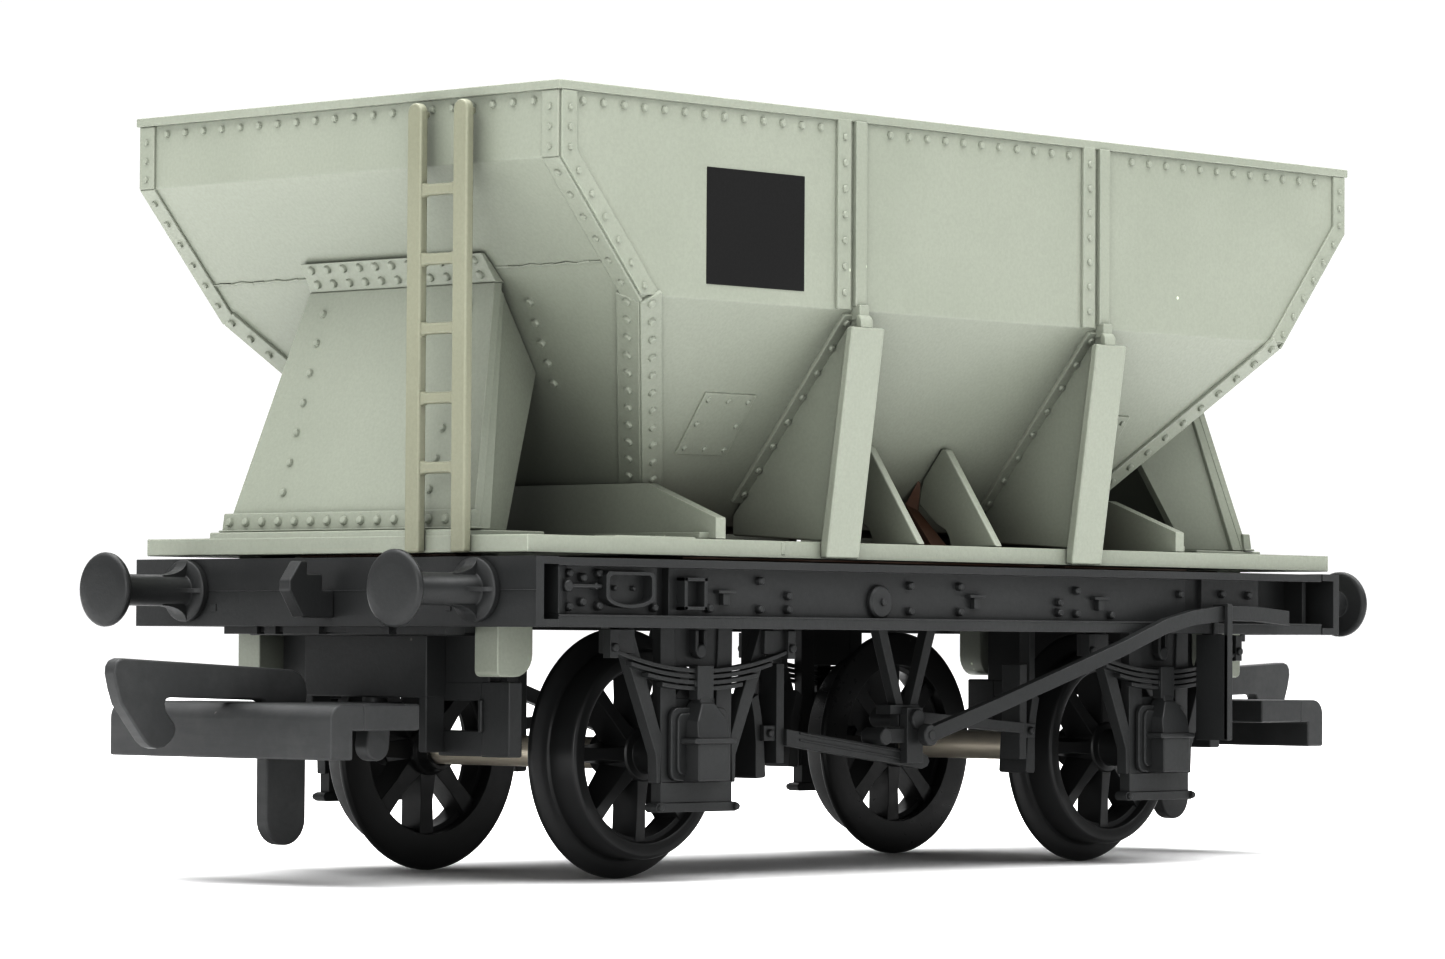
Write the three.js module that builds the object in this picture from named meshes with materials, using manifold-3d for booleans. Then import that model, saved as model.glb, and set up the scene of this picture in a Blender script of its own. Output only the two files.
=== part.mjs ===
// Model iron-ore hopper wagon, OO gauge. Millimetres, +Z up, X along the wagon, wheels stand on z = 0.
// The front end is -X and the left side is -Y. The wagon looks the same turned half round about Z.
import * as THREE from 'three';
import { ConvexGeometry } from 'three/addons/geometries/ConvexGeometry.js';
import { mergeVertices } from 'three/addons/utils/BufferGeometryUtils.js';
import Module from 'manifold-3d';

const wasm = await Module();
wasm.setup();

// ---------------------------------------------------------------- driving dimensions
const WHEEL_X = 20.2; // axle centre from the wagon's middle
const FLANGE_R = 6.9; // wheel flange, so also the axle's height
const TREAD_R = 5.8;
const RIM_INNER_R = 4.86;
const HUB_R = 1.5;
const BACK_Y = 7.2; // half the back-to-back distance
const FLANGE_Y = 7.9; // where flange meets tread
const WHEEL_FACE_Y = 9.8;
const SPOKES = 8;
const SPOKE_W = 0.85;
const AXLE_R = 0.87;
const BORE_R = 0.93;
const PINPOINT_Y = 13.2;

const HEAD_X = 35; // headstock face
const HEAD_Y = 15.85;
const FRAME_LOW_Z = 13.77;
const FRAME_TOP_Z = 17.45;
const CHANNEL_WALL = 0.6;
const HEAD_FLANGE = 1.7; // depth of the headstock's flanges
const SOLE_OUTER_Y = 15.8;
const SOLE_WEB_Y = 15.1;
const SOLE_INNER_Y = 14.5;
const SOLE_END_X = HEAD_X - HEAD_FLANGE - 0.02;
const SOLE_LOW_FLANGE = 0.68;
const SOLE_TOP_FLANGE = 0.45;
const POCKET_X = 27.8; // deep pocket in the solebar at the lever end
const POCKET_Y = 13.9;

const FLOOR_Z = 14.2; // underside of the chassis floor
const FLOOR_T = 1.0;
const FLOOR_Y = 14.25;
const FLOOR_END_Y = 8.3; // narrower past the body clips
const FLOOR_NECK_X = 27;

const BUFFER_Y = 11.48;
const BUFFER_Z = 15.73;
const BUFFER_FACE_X = 41.28;
const BUFFER_HEAD_R = 2.04;
const BUFFER_SHANK_R = 0.88;
const BUFFER_BASE_R = 1.72;

const DECK_X = 34.9;
const DECK_Y = 15.1;
const DECK_LOW_Z = 17.68;
const DECK_TOP_Z = 18.63;
const OPENING_X = 19.55; // opening under the chute
const OPENING_Y = 13.2;
const PLINTH_TOP_Z = 18.95;
const PLINTH_Y = 9.9;
const PLINTH_X = 28.4;

const TUB_X = 34.24;
const TUB_Y = 16.62;
const RIM_X = 34.5;
const RIM_Y = 16.8;
const RIM_TOP_Z = 42.4;
const RIM_T = 0.5;
const END_CREASE_Z = 38.39; // where the end plates turn inwards
const END_SLOPE = 1.1433; // rise per unit of length
const SIDE_CREASE_Z = 31.45;
const SIDE_SLOPE = 1.223; // rise per unit of width
const CHUTE_X = 19.6;
const CHUTE_LOW_Z = 19.6;
const CHUTE_FLOOR_Z = 20.6;
const WALL = 0.9;
const SLOPE_WALL = 1.2; // the same wall measured level, across a sloping plate

const POST_X = 10.7;
const RIB_W = 0.93;
const BULKHEAD_X = 19.7;
const BULKHEAD_T = 0.8;
const GUSSET_X = 3.4;
const GUSSET_T = 0.6;

const BAR_FACE_X = 42.9; // coupling bar
const BAR_Y = 8.78;
const BAR_LOW_Z = 6.75;
const BAR_TOP_Z = 9.65;
const BAR_PLATE_Z = 8.3;
const PEG_X = 31.5; // upright peg the coupling swings on
const HOOK_PIVOT_X = 38.3;
const HOOK_PIVOT_Z = 9;
const HOOK_T = 0.8;

const GUARD_Y = 12.8; // inner face of the axleguards
const GUARD_T = 0.65;
const GAP = 0.02; // between pieces that sit face to face

// ---------------------------------------------------------------- materials
const material = (colour, roughness, metalness = 0) =>
  new THREE.MeshStandardMaterial({ color: colour, roughness, metalness });
const bodyGrey = material(0xbac3b2, 0.5);
const ladderGrey = material(0xafb19b, 0.5);
const chassisBlack = material(0x282a2d, 0.45);
const wheelBlack = material(0x1c1d1f, 0.3);
const steel = material(0xa9a298, 0.35, 0.9);
const rustySteel = material(0x5a3a26, 0.7, 0.4);

// ---------------------------------------------------------------- solid helpers
function toSolid(geometry) {
  geometry.deleteAttribute('normal');
  geometry.deleteAttribute('uv');
  const merged = mergeVertices(geometry, 1e-5);
  const index = merged.index.array;
  const triangles = [];
  for (let i = 0; i < index.length; i += 3) {
    const [a, b, c] = [index[i], index[i + 1], index[i + 2]];
    if (a !== b && b !== c && c !== a) triangles.push(a, b, c);
  }
  return new wasm.Manifold(new wasm.Mesh({
    numProp: 3,
    vertProperties: new Float32Array(merged.attributes.position.array),
    triVerts: new Uint32Array(triangles),
  }));
}

function toGeometry(solid) {
  const mesh = solid.getMesh();
  const geometry = new THREE.BufferGeometry();
  geometry.setAttribute('position', new THREE.BufferAttribute(new Float32Array(mesh.vertProperties), 3));
  geometry.setIndex(new THREE.BufferAttribute(new Uint32Array(mesh.triVerts), 1));
  geometry.computeVertexNormals();
  return geometry;
}

const join = (...solids) => solids.reduce((sum, solid) => sum.add(solid));
const points3 = (list) => list.map(([x, y, z]) => new THREE.Vector3(x, y, z));
const hull = (list) => toSolid(new ConvexGeometry(points3(list)));

function box([x0, x1], [y0, y1], [z0, z1]) {
  const geometry = new THREE.BoxGeometry(x1 - x0, y1 - y0, z1 - z0);
  geometry.translate((x0 + x1) / 2, (y0 + y1) / 2, (z0 + z1) / 2);
  return toSolid(geometry);
}

const plainExtrude = (outline, depth) => new THREE.ExtrudeGeometry(
  new THREE.Shape(outline.map(([a, b]) => new THREE.Vector2(a, b))),
  { depth, bevelEnabled: false },
);

// An outline in (x, y), raised from z0 to z1.
function prismZ(outline, z0, z1) {
  const geometry = plainExtrude(outline, z1 - z0);
  geometry.translate(0, 0, z0);
  return toSolid(geometry);
}

// An outline in (x, z), running from y0 to y1.
function prismY(outline, y0, y1) {
  const geometry = plainExtrude(outline, y1 - y0);
  geometry.rotateX(Math.PI / 2);
  geometry.translate(0, y1, 0);
  return toSolid(geometry);
}

// An outline in (y, z), running from x0 to x1.
function prismX(outline, x0, x1) {
  const geometry = plainExtrude(outline, x1 - x0);
  geometry.applyMatrix4(new THREE.Matrix4().makeBasis(
    new THREE.Vector3(0, 1, 0),
    new THREE.Vector3(0, 0, 1),
    new THREE.Vector3(1, 0, 0),
  ));
  geometry.translate(x0, 0, 0);
  return toSolid(geometry);
}

// A turned piece about the Y axis, from a profile of (radius, y) that runs upwards on its outside.
const latheY = (profile, segments) =>
  toSolid(new THREE.LatheGeometry(profile.map(([r, y]) => new THREE.Vector2(r, y)), segments));

function rodY(radius, y0, y1, x, z, segments = 16) {
  const geometry = new THREE.CylinderGeometry(radius, radius, y1 - y0, segments);
  geometry.translate(x, (y0 + y1) / 2, z);
  return toSolid(geometry);
}

function rodZ(radius, z0, z1, x, y, segments = 20) {
  const geometry = new THREE.CylinderGeometry(radius, radius, z1 - z0, segments);
  geometry.rotateX(Math.PI / 2);
  geometry.translate(x, y, (z0 + z1) / 2);
  return toSolid(geometry);
}

// Points on an arc about (cx, cy), from angle a0 to a1 in degrees.
function arc(cx, cy, radius, a0, a1, steps = 6) {
  const turn = (i) => THREE.MathUtils.degToRad(a0 + ((a1 - a0) * i) / steps);
  return Array.from({ length: steps + 1 }, (_, i) => [
    cx + radius * Math.cos(turn(i)),
    cy + radius * Math.sin(turn(i)),
  ]);
}

const mirrored = (outline) => outline.map(([a, b]) => [-a, b]);
const along = (sign, outline) => outline.map(([a, b]) => [sign * a, b]);

// ---------------------------------------------------------------- body: the hopper and what carries it
const endPlateX = (z) => TUB_X - (END_CREASE_Z - z) / END_SLOPE;
const sidePlateY = (z) => TUB_Y - (SIDE_CREASE_Z - z) / SIDE_SLOPE;
const CHUTE_TOP_Z = END_CREASE_Z - (TUB_X - CHUTE_X) * END_SLOPE;

function ring(halfX, halfY, z) {
  return [[halfX, halfY, z], [-halfX, halfY, z], [-halfX, -halfY, z], [halfX, -halfY, z]];
}

function tubVolume(inset, slopeInset, lowZ, topZ) {
  const halfX = TUB_X - inset;
  const halfY = TUB_Y - inset;
  const rise = slopeInset - inset;
  const endZ = END_CREASE_Z + rise * END_SLOPE;
  const sideZ = SIDE_CREASE_Z + rise * SIDE_SLOPE;
  const neckZ = CHUTE_TOP_Z + rise * END_SLOPE;
  const neckX = CHUTE_X - inset;
  const neck = ring(neckX, sidePlateY(neckZ) - slopeInset, neckZ);
  const upper = hull([
    ...neck,
    ...ring(endPlateX(sideZ) - slopeInset, halfY, sideZ),
    ...ring(halfX, halfY, endZ),
    ...ring(halfX, halfY, topZ),
  ]);
  const chute = hull([...neck, ...ring(neckX, sidePlateY(lowZ) - slopeInset, lowZ)]);
  return upper.add(chute);
}

function hopperTub() {
  const shell = tubVolume(0, 0, CHUTE_LOW_Z, RIM_TOP_Z - RIM_T);
  const rim = box([-RIM_X, RIM_X], [-RIM_Y, RIM_Y], [RIM_TOP_Z - RIM_T, RIM_TOP_Z]);
  const ribs = [-1, 1].flatMap((side) => [-POST_X, POST_X].map((x) => {
    const outer = side * (TUB_Y + 0.3);
    const inner = side * (TUB_Y - 0.3);
    const span = [Math.min(outer, inner), Math.max(outer, inner)];
    return box([x - RIB_W / 2, x + RIB_W / 2], span, [SIDE_CREASE_Z, RIM_TOP_Z - RIM_T]);
  }));
  const hollow = tubVolume(WALL, SLOPE_WALL, CHUTE_FLOOR_Z, RIM_TOP_Z + 1);
  return join(shell, rim, ...ribs).subtract(hollow);
}

function bodyDeck() {
  const plate = box([-DECK_X, DECK_X], [-DECK_Y, DECK_Y], [DECK_LOW_Z, DECK_TOP_Z]);
  const plinth = (x0, x1) => box([x0, x1], [-PLINTH_Y, PLINTH_Y], [DECK_LOW_Z, PLINTH_TOP_Z]);
  const opening = box([-OPENING_X, OPENING_X], [-OPENING_Y, OPENING_Y], [DECK_LOW_Z - 1, DECK_TOP_Z + 1]);
  const clipX = [29.65, 32.3];
  const clipY = [8.5, 10.3];
  const clipLowZ = 11.1;
  const [inX, outX] = clipX;
  const cornerR = 1.1;
  const outline = [
    [outX, DECK_TOP_Z - 0.5],
    [inX, DECK_TOP_Z - 0.5],
    ...arc(inX + cornerR, clipLowZ + cornerR, cornerR, 180, 270, 4),
    [outX, clipLowZ],
  ];
  const clips = [[1, 1], [1, -1], [-1, 1], [-1, -1]].map(([endX, side]) => {
    const y = [Math.min(...clipY.map((v) => side * v)), Math.max(...clipY.map((v) => side * v))];
    return prismY(along(endX, outline), ...y);
  });
  const plinths = [plinth(PLINTH_X, DECK_X), plinth(-DECK_X, -PLINTH_X)];
  return join(join(plate, ...plinths).subtract(opening), ...clips);
}

// A tapered plate box under the end slope. It is built for the +X end.
function endButtress() {
  const gap = 0.15;
  const footX = 33.7;
  const footY = 9.8;
  const topZ = 33.9;
  const shoulderZ = 32.4;
  const topY = 7.35;
  const plateT = 0.7;
  const wingT = 0.5;
  const z0 = PLINTH_TOP_Z + GAP;
  const slopeAt = (z) => endPlateX(z) + gap;
  const bothSides = (list) => list.flatMap(([x, y, z]) => [[x, y, z], [x, -y, z]]);
  const plate = hull(bothSides([
    [footX, footY, z0],
    [footX - plateT, footY, z0],
    [slopeAt(shoulderZ) + plateT, topY, shoulderZ],
    [slopeAt(shoulderZ), topY, shoulderZ],
  ]));
  const strip = hull(bothSides([
    [slopeAt(shoulderZ), topY, shoulderZ],
    [slopeAt(shoulderZ) + plateT, topY, shoulderZ],
    [slopeAt(topZ), topY - 0.15, topZ],
    [slopeAt(topZ) + 0.4, topY - 0.15, topZ],
  ]));
  const tipZ = 27.75;
  const wingOutline = [
    [footX - 0.1, footY, z0],
    [29.65, 8.1, z0],
    [slopeAt(tipZ), 5.8, tipZ],
    [slopeAt(shoulderZ), topY, shoulderZ],
    [slopeAt(shoulderZ) + plateT - 0.1, topY, shoulderZ],
  ];
  const wing = (side) => hull(wingOutline.flatMap(([x, y, z]) => [
    [x, side * y, z],
    [x, side * (y - wingT), z],
  ]));
  const angle = box([footX - 0.2, footX + 0.35], [-footY - 0.25, footY + 0.25], [z0, z0 + 0.3]);
  return join(plate, strip, wing(1), wing(-1), angle);
}

function bulkhead() {
  const shoulderY = 9.9;
  const z0 = DECK_TOP_Z + GAP;
  const half = [[DECK_Y, z0], [DECK_Y, 19.8], [shoulderY, 21.6]];
  const outline = [...half, ...mirrored(half).reverse()];
  const foot = box([BULKHEAD_X, BULKHEAD_X + 1.5], [-DECK_Y + 0.6, DECK_Y - 0.6], [z0, z0 + 0.35]);
  return prismX(outline, BULKHEAD_X, BULKHEAD_X + BULKHEAD_T).add(foot);
}

// The line that the hopper's sloping side keeps clear of a post or gusset at height z, on the -Y side.
const slopeLineY = (z) => -sidePlateY(z) - 0.12;

// A raking post on the -Y side: a front flange and a web up to the hopper's slope.
function sidePost() {
  const flangeW = 2.7;
  const flangeT = 0.48;
  const webT = 0.7;
  const footY = -15.6;
  const headY = -17.45;
  const headZ = 30.55;
  const footZ = DECK_LOW_Z + 0.05;
  const x0 = -flangeW / 2;
  const flange = prismX([
    [footY, footZ],
    [-DECK_Y - GAP, footZ],
    [-DECK_Y - GAP, DECK_TOP_Z],
    [headY + flangeT, headZ],
    [headY, headZ],
  ], x0, x0 + flangeW);
  const webTopZ = 31.2;
  const webLowZ = 20.2;
  const web = prismX([
    [-DECK_Y, DECK_TOP_Z + GAP],
    [slopeLineY(webLowZ), DECK_TOP_Z + 0.45],
    [slopeLineY(webLowZ), webLowZ],
    [slopeLineY(webTopZ), webTopZ],
    [headY + flangeT + 0.1, webTopZ],
    [headY + 0.1, headZ],
    [-DECK_Y - 0.4, DECK_TOP_Z + GAP],
  ], -webT / 2, webT / 2);
  return flange.add(web);
}

// A small triangular plate on the -Y side, cut away over the ballast weight.
function centreGusset() {
  return prismX([
    [-DECK_Y, DECK_TOP_Z + GAP],
    [-11.6, DECK_TOP_Z + GAP],
    [-11.35, 19.5],
    [-10.1, 20.3],
    [-9.15, 21.15],
    [slopeLineY(22.6), 22.6],
    [slopeLineY(24.1), 24.1],
    [-11.25, 24.3],
  ], -GUSSET_T / 2, GUSSET_T / 2);
}

// A ladder on the +X end, at +Y.
function endLadder() {
  const backX = DECK_X + GAP;
  const frontX = 35.55;
  const centreY = 8.65;
  const pitch = 3.5;
  const stileW = 1.1;
  const [lowZ, topZ] = [DECK_LOW_Z, 41.7];
  const rungH = 0.62;
  const [topRungZ, rungPitch, rungs] = [37, 3.7, 5];
  const stiles = [-1, 1].map((side) => {
    const y = centreY + (side * pitch) / 2;
    const rail = box([backX, frontX], [y - stileW / 2, y + stileW / 2], [lowZ, topZ]);
    const stay = box([RIM_X + GAP, frontX], [y - stileW / 2, y + stileW / 2], [topZ - 0.9, topZ - 0.1]);
    return rail.add(stay);
  });
  const bars = Array.from({ length: rungs }, (_, i) => {
    const z = topRungZ - i * rungPitch;
    const width = [centreY - pitch / 2, centreY + pitch / 2];
    return box([backX + 0.1, frontX - 0.1], width, [z - rungH / 2, z + rungH / 2]);
  });
  return join(...stiles, ...bars);
}

function ballastWeight() {
  const slab = box([-26, 26], [-13.4, 13.4], [FLOOR_Z + FLOOR_T, DECK_LOW_Z - 0.08]);
  const moundX = OPENING_X - 0.3;
  const mound = box([-moundX, moundX], [-11.4, 11.4], [FLOOR_Z + FLOOR_T, 18.5]);
  const sheetZ = [FRAME_TOP_Z + 0.07, DECK_LOW_Z - 0.06]; // thin edges that lie between chassis and body
  const tongue = box([25.9, 34.2], [-3, 8.3], sheetZ);
  const edge = box([9.5, 21], [-14.95, -13.2], sheetZ);
  const sheets = [tongue, edge].flatMap((sheet) => [sheet, sheet.rotate([0, 0, 180])]);
  return join(slab, mound, ...sheets);
}

// ---------------------------------------------------------------- chassis
function chassisFloor() {
  const wide = box([-FLOOR_NECK_X, FLOOR_NECK_X], [-FLOOR_Y, FLOOR_Y], [FLOOR_Z, FLOOR_Z + FLOOR_T]);
  const endX = HEAD_X - CHANNEL_WALL - GAP;
  const narrow = box([-endX, endX], [-FLOOR_END_Y, FLOOR_END_Y], [FLOOR_Z + 0.05, FLOOR_Z + FLOOR_T]);
  return wide.add(narrow);
}

// The +X headstock: a channel with its flanges turned inwards.
function headstock() {
  const [low, top] = [FRAME_LOW_Z, FRAME_TOP_Z + 0.04];
  const inner = HEAD_X - CHANNEL_WALL;
  const lip = 0.42;
  return prismY([
    [HEAD_X, low],
    [HEAD_X, top],
    [HEAD_X - HEAD_FLANGE, top],
    [HEAD_X - HEAD_FLANGE, top - lip],
    [inner, top - lip],
    [inner, low + lip],
    [HEAD_X - HEAD_FLANGE, low + lip],
    [HEAD_X - HEAD_FLANGE, low],
  ], -HEAD_Y, HEAD_Y);
}

// The -Y solebar: a channel facing outwards, with a deep pocket towards +X.
function solebar() {
  const [low, top] = [FRAME_LOW_Z, FRAME_TOP_Z];
  const channel = prismX([
    [-SOLE_OUTER_Y, low],
    [-SOLE_INNER_Y, low],
    [-SOLE_INNER_Y, top],
    [-SOLE_OUTER_Y, top],
    [-SOLE_OUTER_Y, top - SOLE_TOP_FLANGE],
    [-SOLE_WEB_Y, top - SOLE_TOP_FLANGE],
    [-SOLE_WEB_Y, low + SOLE_LOW_FLANGE],
    [-SOLE_OUTER_Y, low + SOLE_LOW_FLANGE],
  ], -SOLE_END_X, SOLE_END_X);
  const pocketZ = [low + SOLE_LOW_FLANGE, top - SOLE_TOP_FLANGE];
  const endX = SOLE_END_X - 0.4;
  const pocket = box([POCKET_X, endX], [-SOLE_OUTER_Y - 1, -SOLE_INNER_Y + 1], pocketZ);
  const back = box([POCKET_X - 0.4, SOLE_END_X], [-POCKET_Y, -POCKET_Y + CHANNEL_WALL], pocketZ);
  const cheeks = [[POCKET_X - 0.4, POCKET_X], [endX, SOLE_END_X]].map((x) =>
    box(x, [-SOLE_INNER_Y - 0.1, -POCKET_Y + 0.1], pocketZ));
  return join(channel.subtract(pocket), back, ...cheeks);
}

// A buffer that points along +X, from the headstock's face.
function buffer() {
  const baseT = 0.45;
  const headT = 0.6;
  const segments = 20;
  const length = BUFFER_FACE_X - HEAD_X;
  const profile = [
    [0, 0],
    [BUFFER_BASE_R, 0],
    [BUFFER_BASE_R, baseT],
    [BUFFER_SHANK_R, baseT],
    [BUFFER_SHANK_R, length - headT],
    [BUFFER_HEAD_R - 0.12, length - headT],
    [BUFFER_HEAD_R, length - headT + 0.15],
    [BUFFER_HEAD_R, length - 0.2],
    [BUFFER_HEAD_R - 0.2, length],
    [0, length],
  ];
  const ribT = 0.3;
  const ribRun = 1.9;
  const fin = hull([-ribT / 2, ribT / 2].flatMap((w) => [
    [w, baseT, BUFFER_BASE_R - 0.05],
    [w, baseT, 0],
    [w, baseT + ribRun, BUFFER_SHANK_R - 0.1],
    [w, baseT + ribRun, 0],
    [w, baseT + 0.35, BUFFER_BASE_R - 0.3],
  ]));
  const fins = [0, 90, 180, 270].map((turn) => fin.rotate([0, turn, 0]));
  return join(latheY(profile, segments), ...fins).rotate([0, 0, -90]).translate([HEAD_X + GAP, 0, BUFFER_Z]);
}

// The +X drawhook, moulded solid: a nose with cut corners, a gullet open at the top and a shank.
function drawhook() {
  const halfY = 0.45;
  const [lowZ, middleZ, gulletZ, topZ] = [14.23, 15.7, 16.57, 17.28];
  const profile = [
    [0, lowZ],
    [2.27, lowZ],
    [3.24, middleZ],
    [3.24, middleZ + 0.5],
    [2.44, topZ],
    [1.96, topZ],
    [1.96, gulletZ],
    [0.85, gulletZ],
    [0.85, middleZ],
    [0, middleZ],
  ];
  return prismY(profile.map(([out, z]) => [HEAD_X + GAP + out, z]), -halfY, halfY);
}

// An axleguard on the -Y side, centred on x = 0.
function axleguard() {
  const [inner, outer] = [-GUARD_Y, -GUARD_Y - GUARD_T];
  const leg = [[6.4, FLOOR_Z], [5.2, FLOOR_Z], [2.7, 7.9], [2.85, 5.4]];
  const upright = [[1.6, 4.3], [2.85, 4.3], [2.85, FLOOR_Z], [1.6, FLOOR_Z]];
  const sides = [leg, mirrored(leg), upright, mirrored(upright)];
  const foot = box([-2.85, 2.85], [outer, inner], [4.3, 5.5]);
  const keep = box([-3.1, 3.1], [outer - 0.15, inner + 0.1], [3.8, 4.3]);
  const bearing = box([-1.7, 1.7], [outer, inner], [5.4, 10]);
  const hole = rodY(0.78, outer - 1, inner + 1, 0, FLANGE_R);
  return join(...sides.map((side) => prismY(side, outer, inner)), foot, keep, bearing).subtract(hole);
}

// An axlebox on the -Y side, centred on x = 0, against the axleguard's outer face.
function axlebox() {
  const back = -GUARD_Y - GUARD_T - GAP;
  const face = -14.85;
  const plate = box([-2.3, 2.3], [back - 0.35, back], [5.6, 9.4]);
  const lower = box([-1.65, 1.65], [face, back], [5.5, 7.6]);
  const rib = box([-1.85, 1.85], [face - 0.2, back], [7.55, 7.82]);
  const shoulders = hull([-1, 1].flatMap((side) => [
    [side * 1.65, back, 7.8],
    [side * 1.65, face, 7.8],
    [side * 1.5, back, 8.9],
    [side * 1.45, face + 0.15, 8.7],
    [side * 0.75, back, 9.7],
    [side * 0.75, face + 0.45, 9.7],
  ]));
  return join(plate, lower, rib, shoulders);
}

// A leaf spring on the -Y side, centred on x = 0, with its buckle and shackles.
function leafSpring() {
  const back = -GUARD_Y - GUARD_T - GAP;
  const face = -13.98;
  const leafT = 0.26;
  const steps = 8;
  const camber = 0.0227; // rise per unit of length squared
  const leaves = [[11.45, 6.9], [11.12, 5.6], [10.79, 4.4], [10.46, 3.3]].map(([z, halfLength]) => {
    const edge = (lift) => Array.from({ length: steps + 1 }, (_, i) => {
      const x = -halfLength + (2 * halfLength * i) / steps;
      return [x, z + lift + camber * x * x];
    });
    return prismY([...edge(-leafT / 2), ...edge(leafT / 2).reverse()], face, back);
  });
  const buckle = box([-0.64, 0.64], [face - 0.12, back], [9.85, 11.75]);
  const shackleZ = [12.1, FLOOR_Z - GAP];
  const shackles = [-7.1, 7.1].map((x) => box([x - 0.32, x + 0.32], [face - 0.1, back], shackleZ));
  return join(...leaves, buckle, ...shackles);
}

// Brake rigging on the -Y side: V-hanger, cross shaft, crank and both push rods.
function brakeRigging() {
  const [outer, inner] = [-11.05, -10.4];
  const shaftZ = 8.95;
  const legs = [-1, 1].map((side) => {
    const leg = [[side * 0.1, 9], [side * 0.75, 9], [side * 2.85, FLOOR_Z], [side * 1.95, FLOOR_Z]];
    return prismY(leg, outer, inner);
  });
  const apex = box([-0.75, 0.75], [outer, inner], [8.3, 9.6]);
  const shaft = rodY(0.52, -12, -8.6, 0, shaftZ, 20);
  const crank = box([-0.6, 0.6], [-11.7, -11.1], [6, 9.5]);
  const longRod = prismY([[-10.25, 7.3], [1.9, 5.85], [1.9, 6.75], [-10.25, 8.25]], -11.15, -10.5);
  const shortRod = prismY([[-0.3, 8.6], [10.25, 7.85], [10.25, 8.5], [-0.3, 9.25]], -11.15, -10.5);
  return join(...legs, apex, shaft, crank, longRod, shortRod);
}

// A brake shoe with its hanger and strap, on the -Y side. The wheel is on the side that "sign" points to.
function brakeShoe(sign) {
  const wheelSide = [[12.2, 5.45], [12.2, 7.4], [12.35, 8.9], [12.6, 9.9]];
  const pad = [[11.37, 5.5], ...wheelSide, [12, 10.2], [11.7, 8.9], [11.5, 7.4]];
  const span = ([x0, x1]) => [Math.min(sign * x0, sign * x1), Math.max(sign * x0, sign * x1)];
  const block = prismY(along(sign, pad), -10.5, -8.4);
  const hanger = box(span([11.9, 12.4]), [-10.3, -9.5], [9, FLOOR_Z]);
  const link = box(span([10.7, 11.8]), [-10.8, -9.6], [7.5, 8.4]);
  const strap = box(span([10.3, 10.95]), [-10.9, -9.5], [6.2, 11.85]);
  return join(block, hanger, link, strap);
}

// The brake lever on the -Y side with its guide.
function brakeLever() {
  const half = 0.28;
  const path = [
    [0.3, -12.36, 7.8, 0.48],
    [13.6, -16.25, 12.95, 0.46],
    [16.6, -16.35, 14.07, 0.45],
    [22.6, -16.35, 15, 0.45],
    [28.9, -16.35, 14.75, 0.42],
  ];
  const corners = ([x, y, z, rise]) => [-1, 1].flatMap((side) => [
    [x, y + side * half, z - rise],
    [x, y + side * half, z + rise],
  ]);
  const runs = path.slice(1).map((end, i) => hull([...corners(path[i]), ...corners(end)]));
  const guideX = [22.3, 22.75];
  const lower = box(guideX, [-17, -14.6], [7.4, FRAME_LOW_Z - GAP]);
  const upper = box(guideX, [-17, -SOLE_OUTER_Y - 0.05], [FRAME_LOW_Z - 0.3, 15.5]);
  return join(...runs, lower, upper);
}

// ---------------------------------------------------------------- couplings, built for the +X end
function couplingMount() {
  const blockX = [30.8, 32.3];
  const cheekY = [4.2, 4.84];
  const blockTop = 13.35;
  const blockLow = 9.95;
  const block = box(blockX, [-cheekY[1], cheekY[1]], [blockLow, blockTop]);
  const cheeks = [cheekY, [-cheekY[1], -cheekY[0]]].map((y) => box(blockX, y, [7, blockLow + 0.1]));
  const wallX = [29.9, blockX[0] + 0.1];
  const cutX = [wallX[0] - 1, wallX[1] + 1];
  const wall = box(wallX, [-9.8, 9.8], [6.8, 10.85]).add(box(wallX, [-8.2, 8.2], [10.8, FLOOR_Z]));
  const archway = box(cutX, [-cheekY[0], cheekY[0]], [6, blockLow]);
  const windows = [[4.94, 7.6], [-7.6, -4.94]].map((y) => box(cutX, y, [8.2, 9.8]));
  const slab = box([wallX[0], 34.1], [-7.5, 7.5], [blockTop - 0.05, FRAME_LOW_Z - GAP]);
  const peg = rodZ(0.7, 7.9, blockLow + 0.5, PEG_X, 0);
  return join(wall.subtract(join(archway, ...windows)), block, ...cheeks, slab, peg);
}

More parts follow.
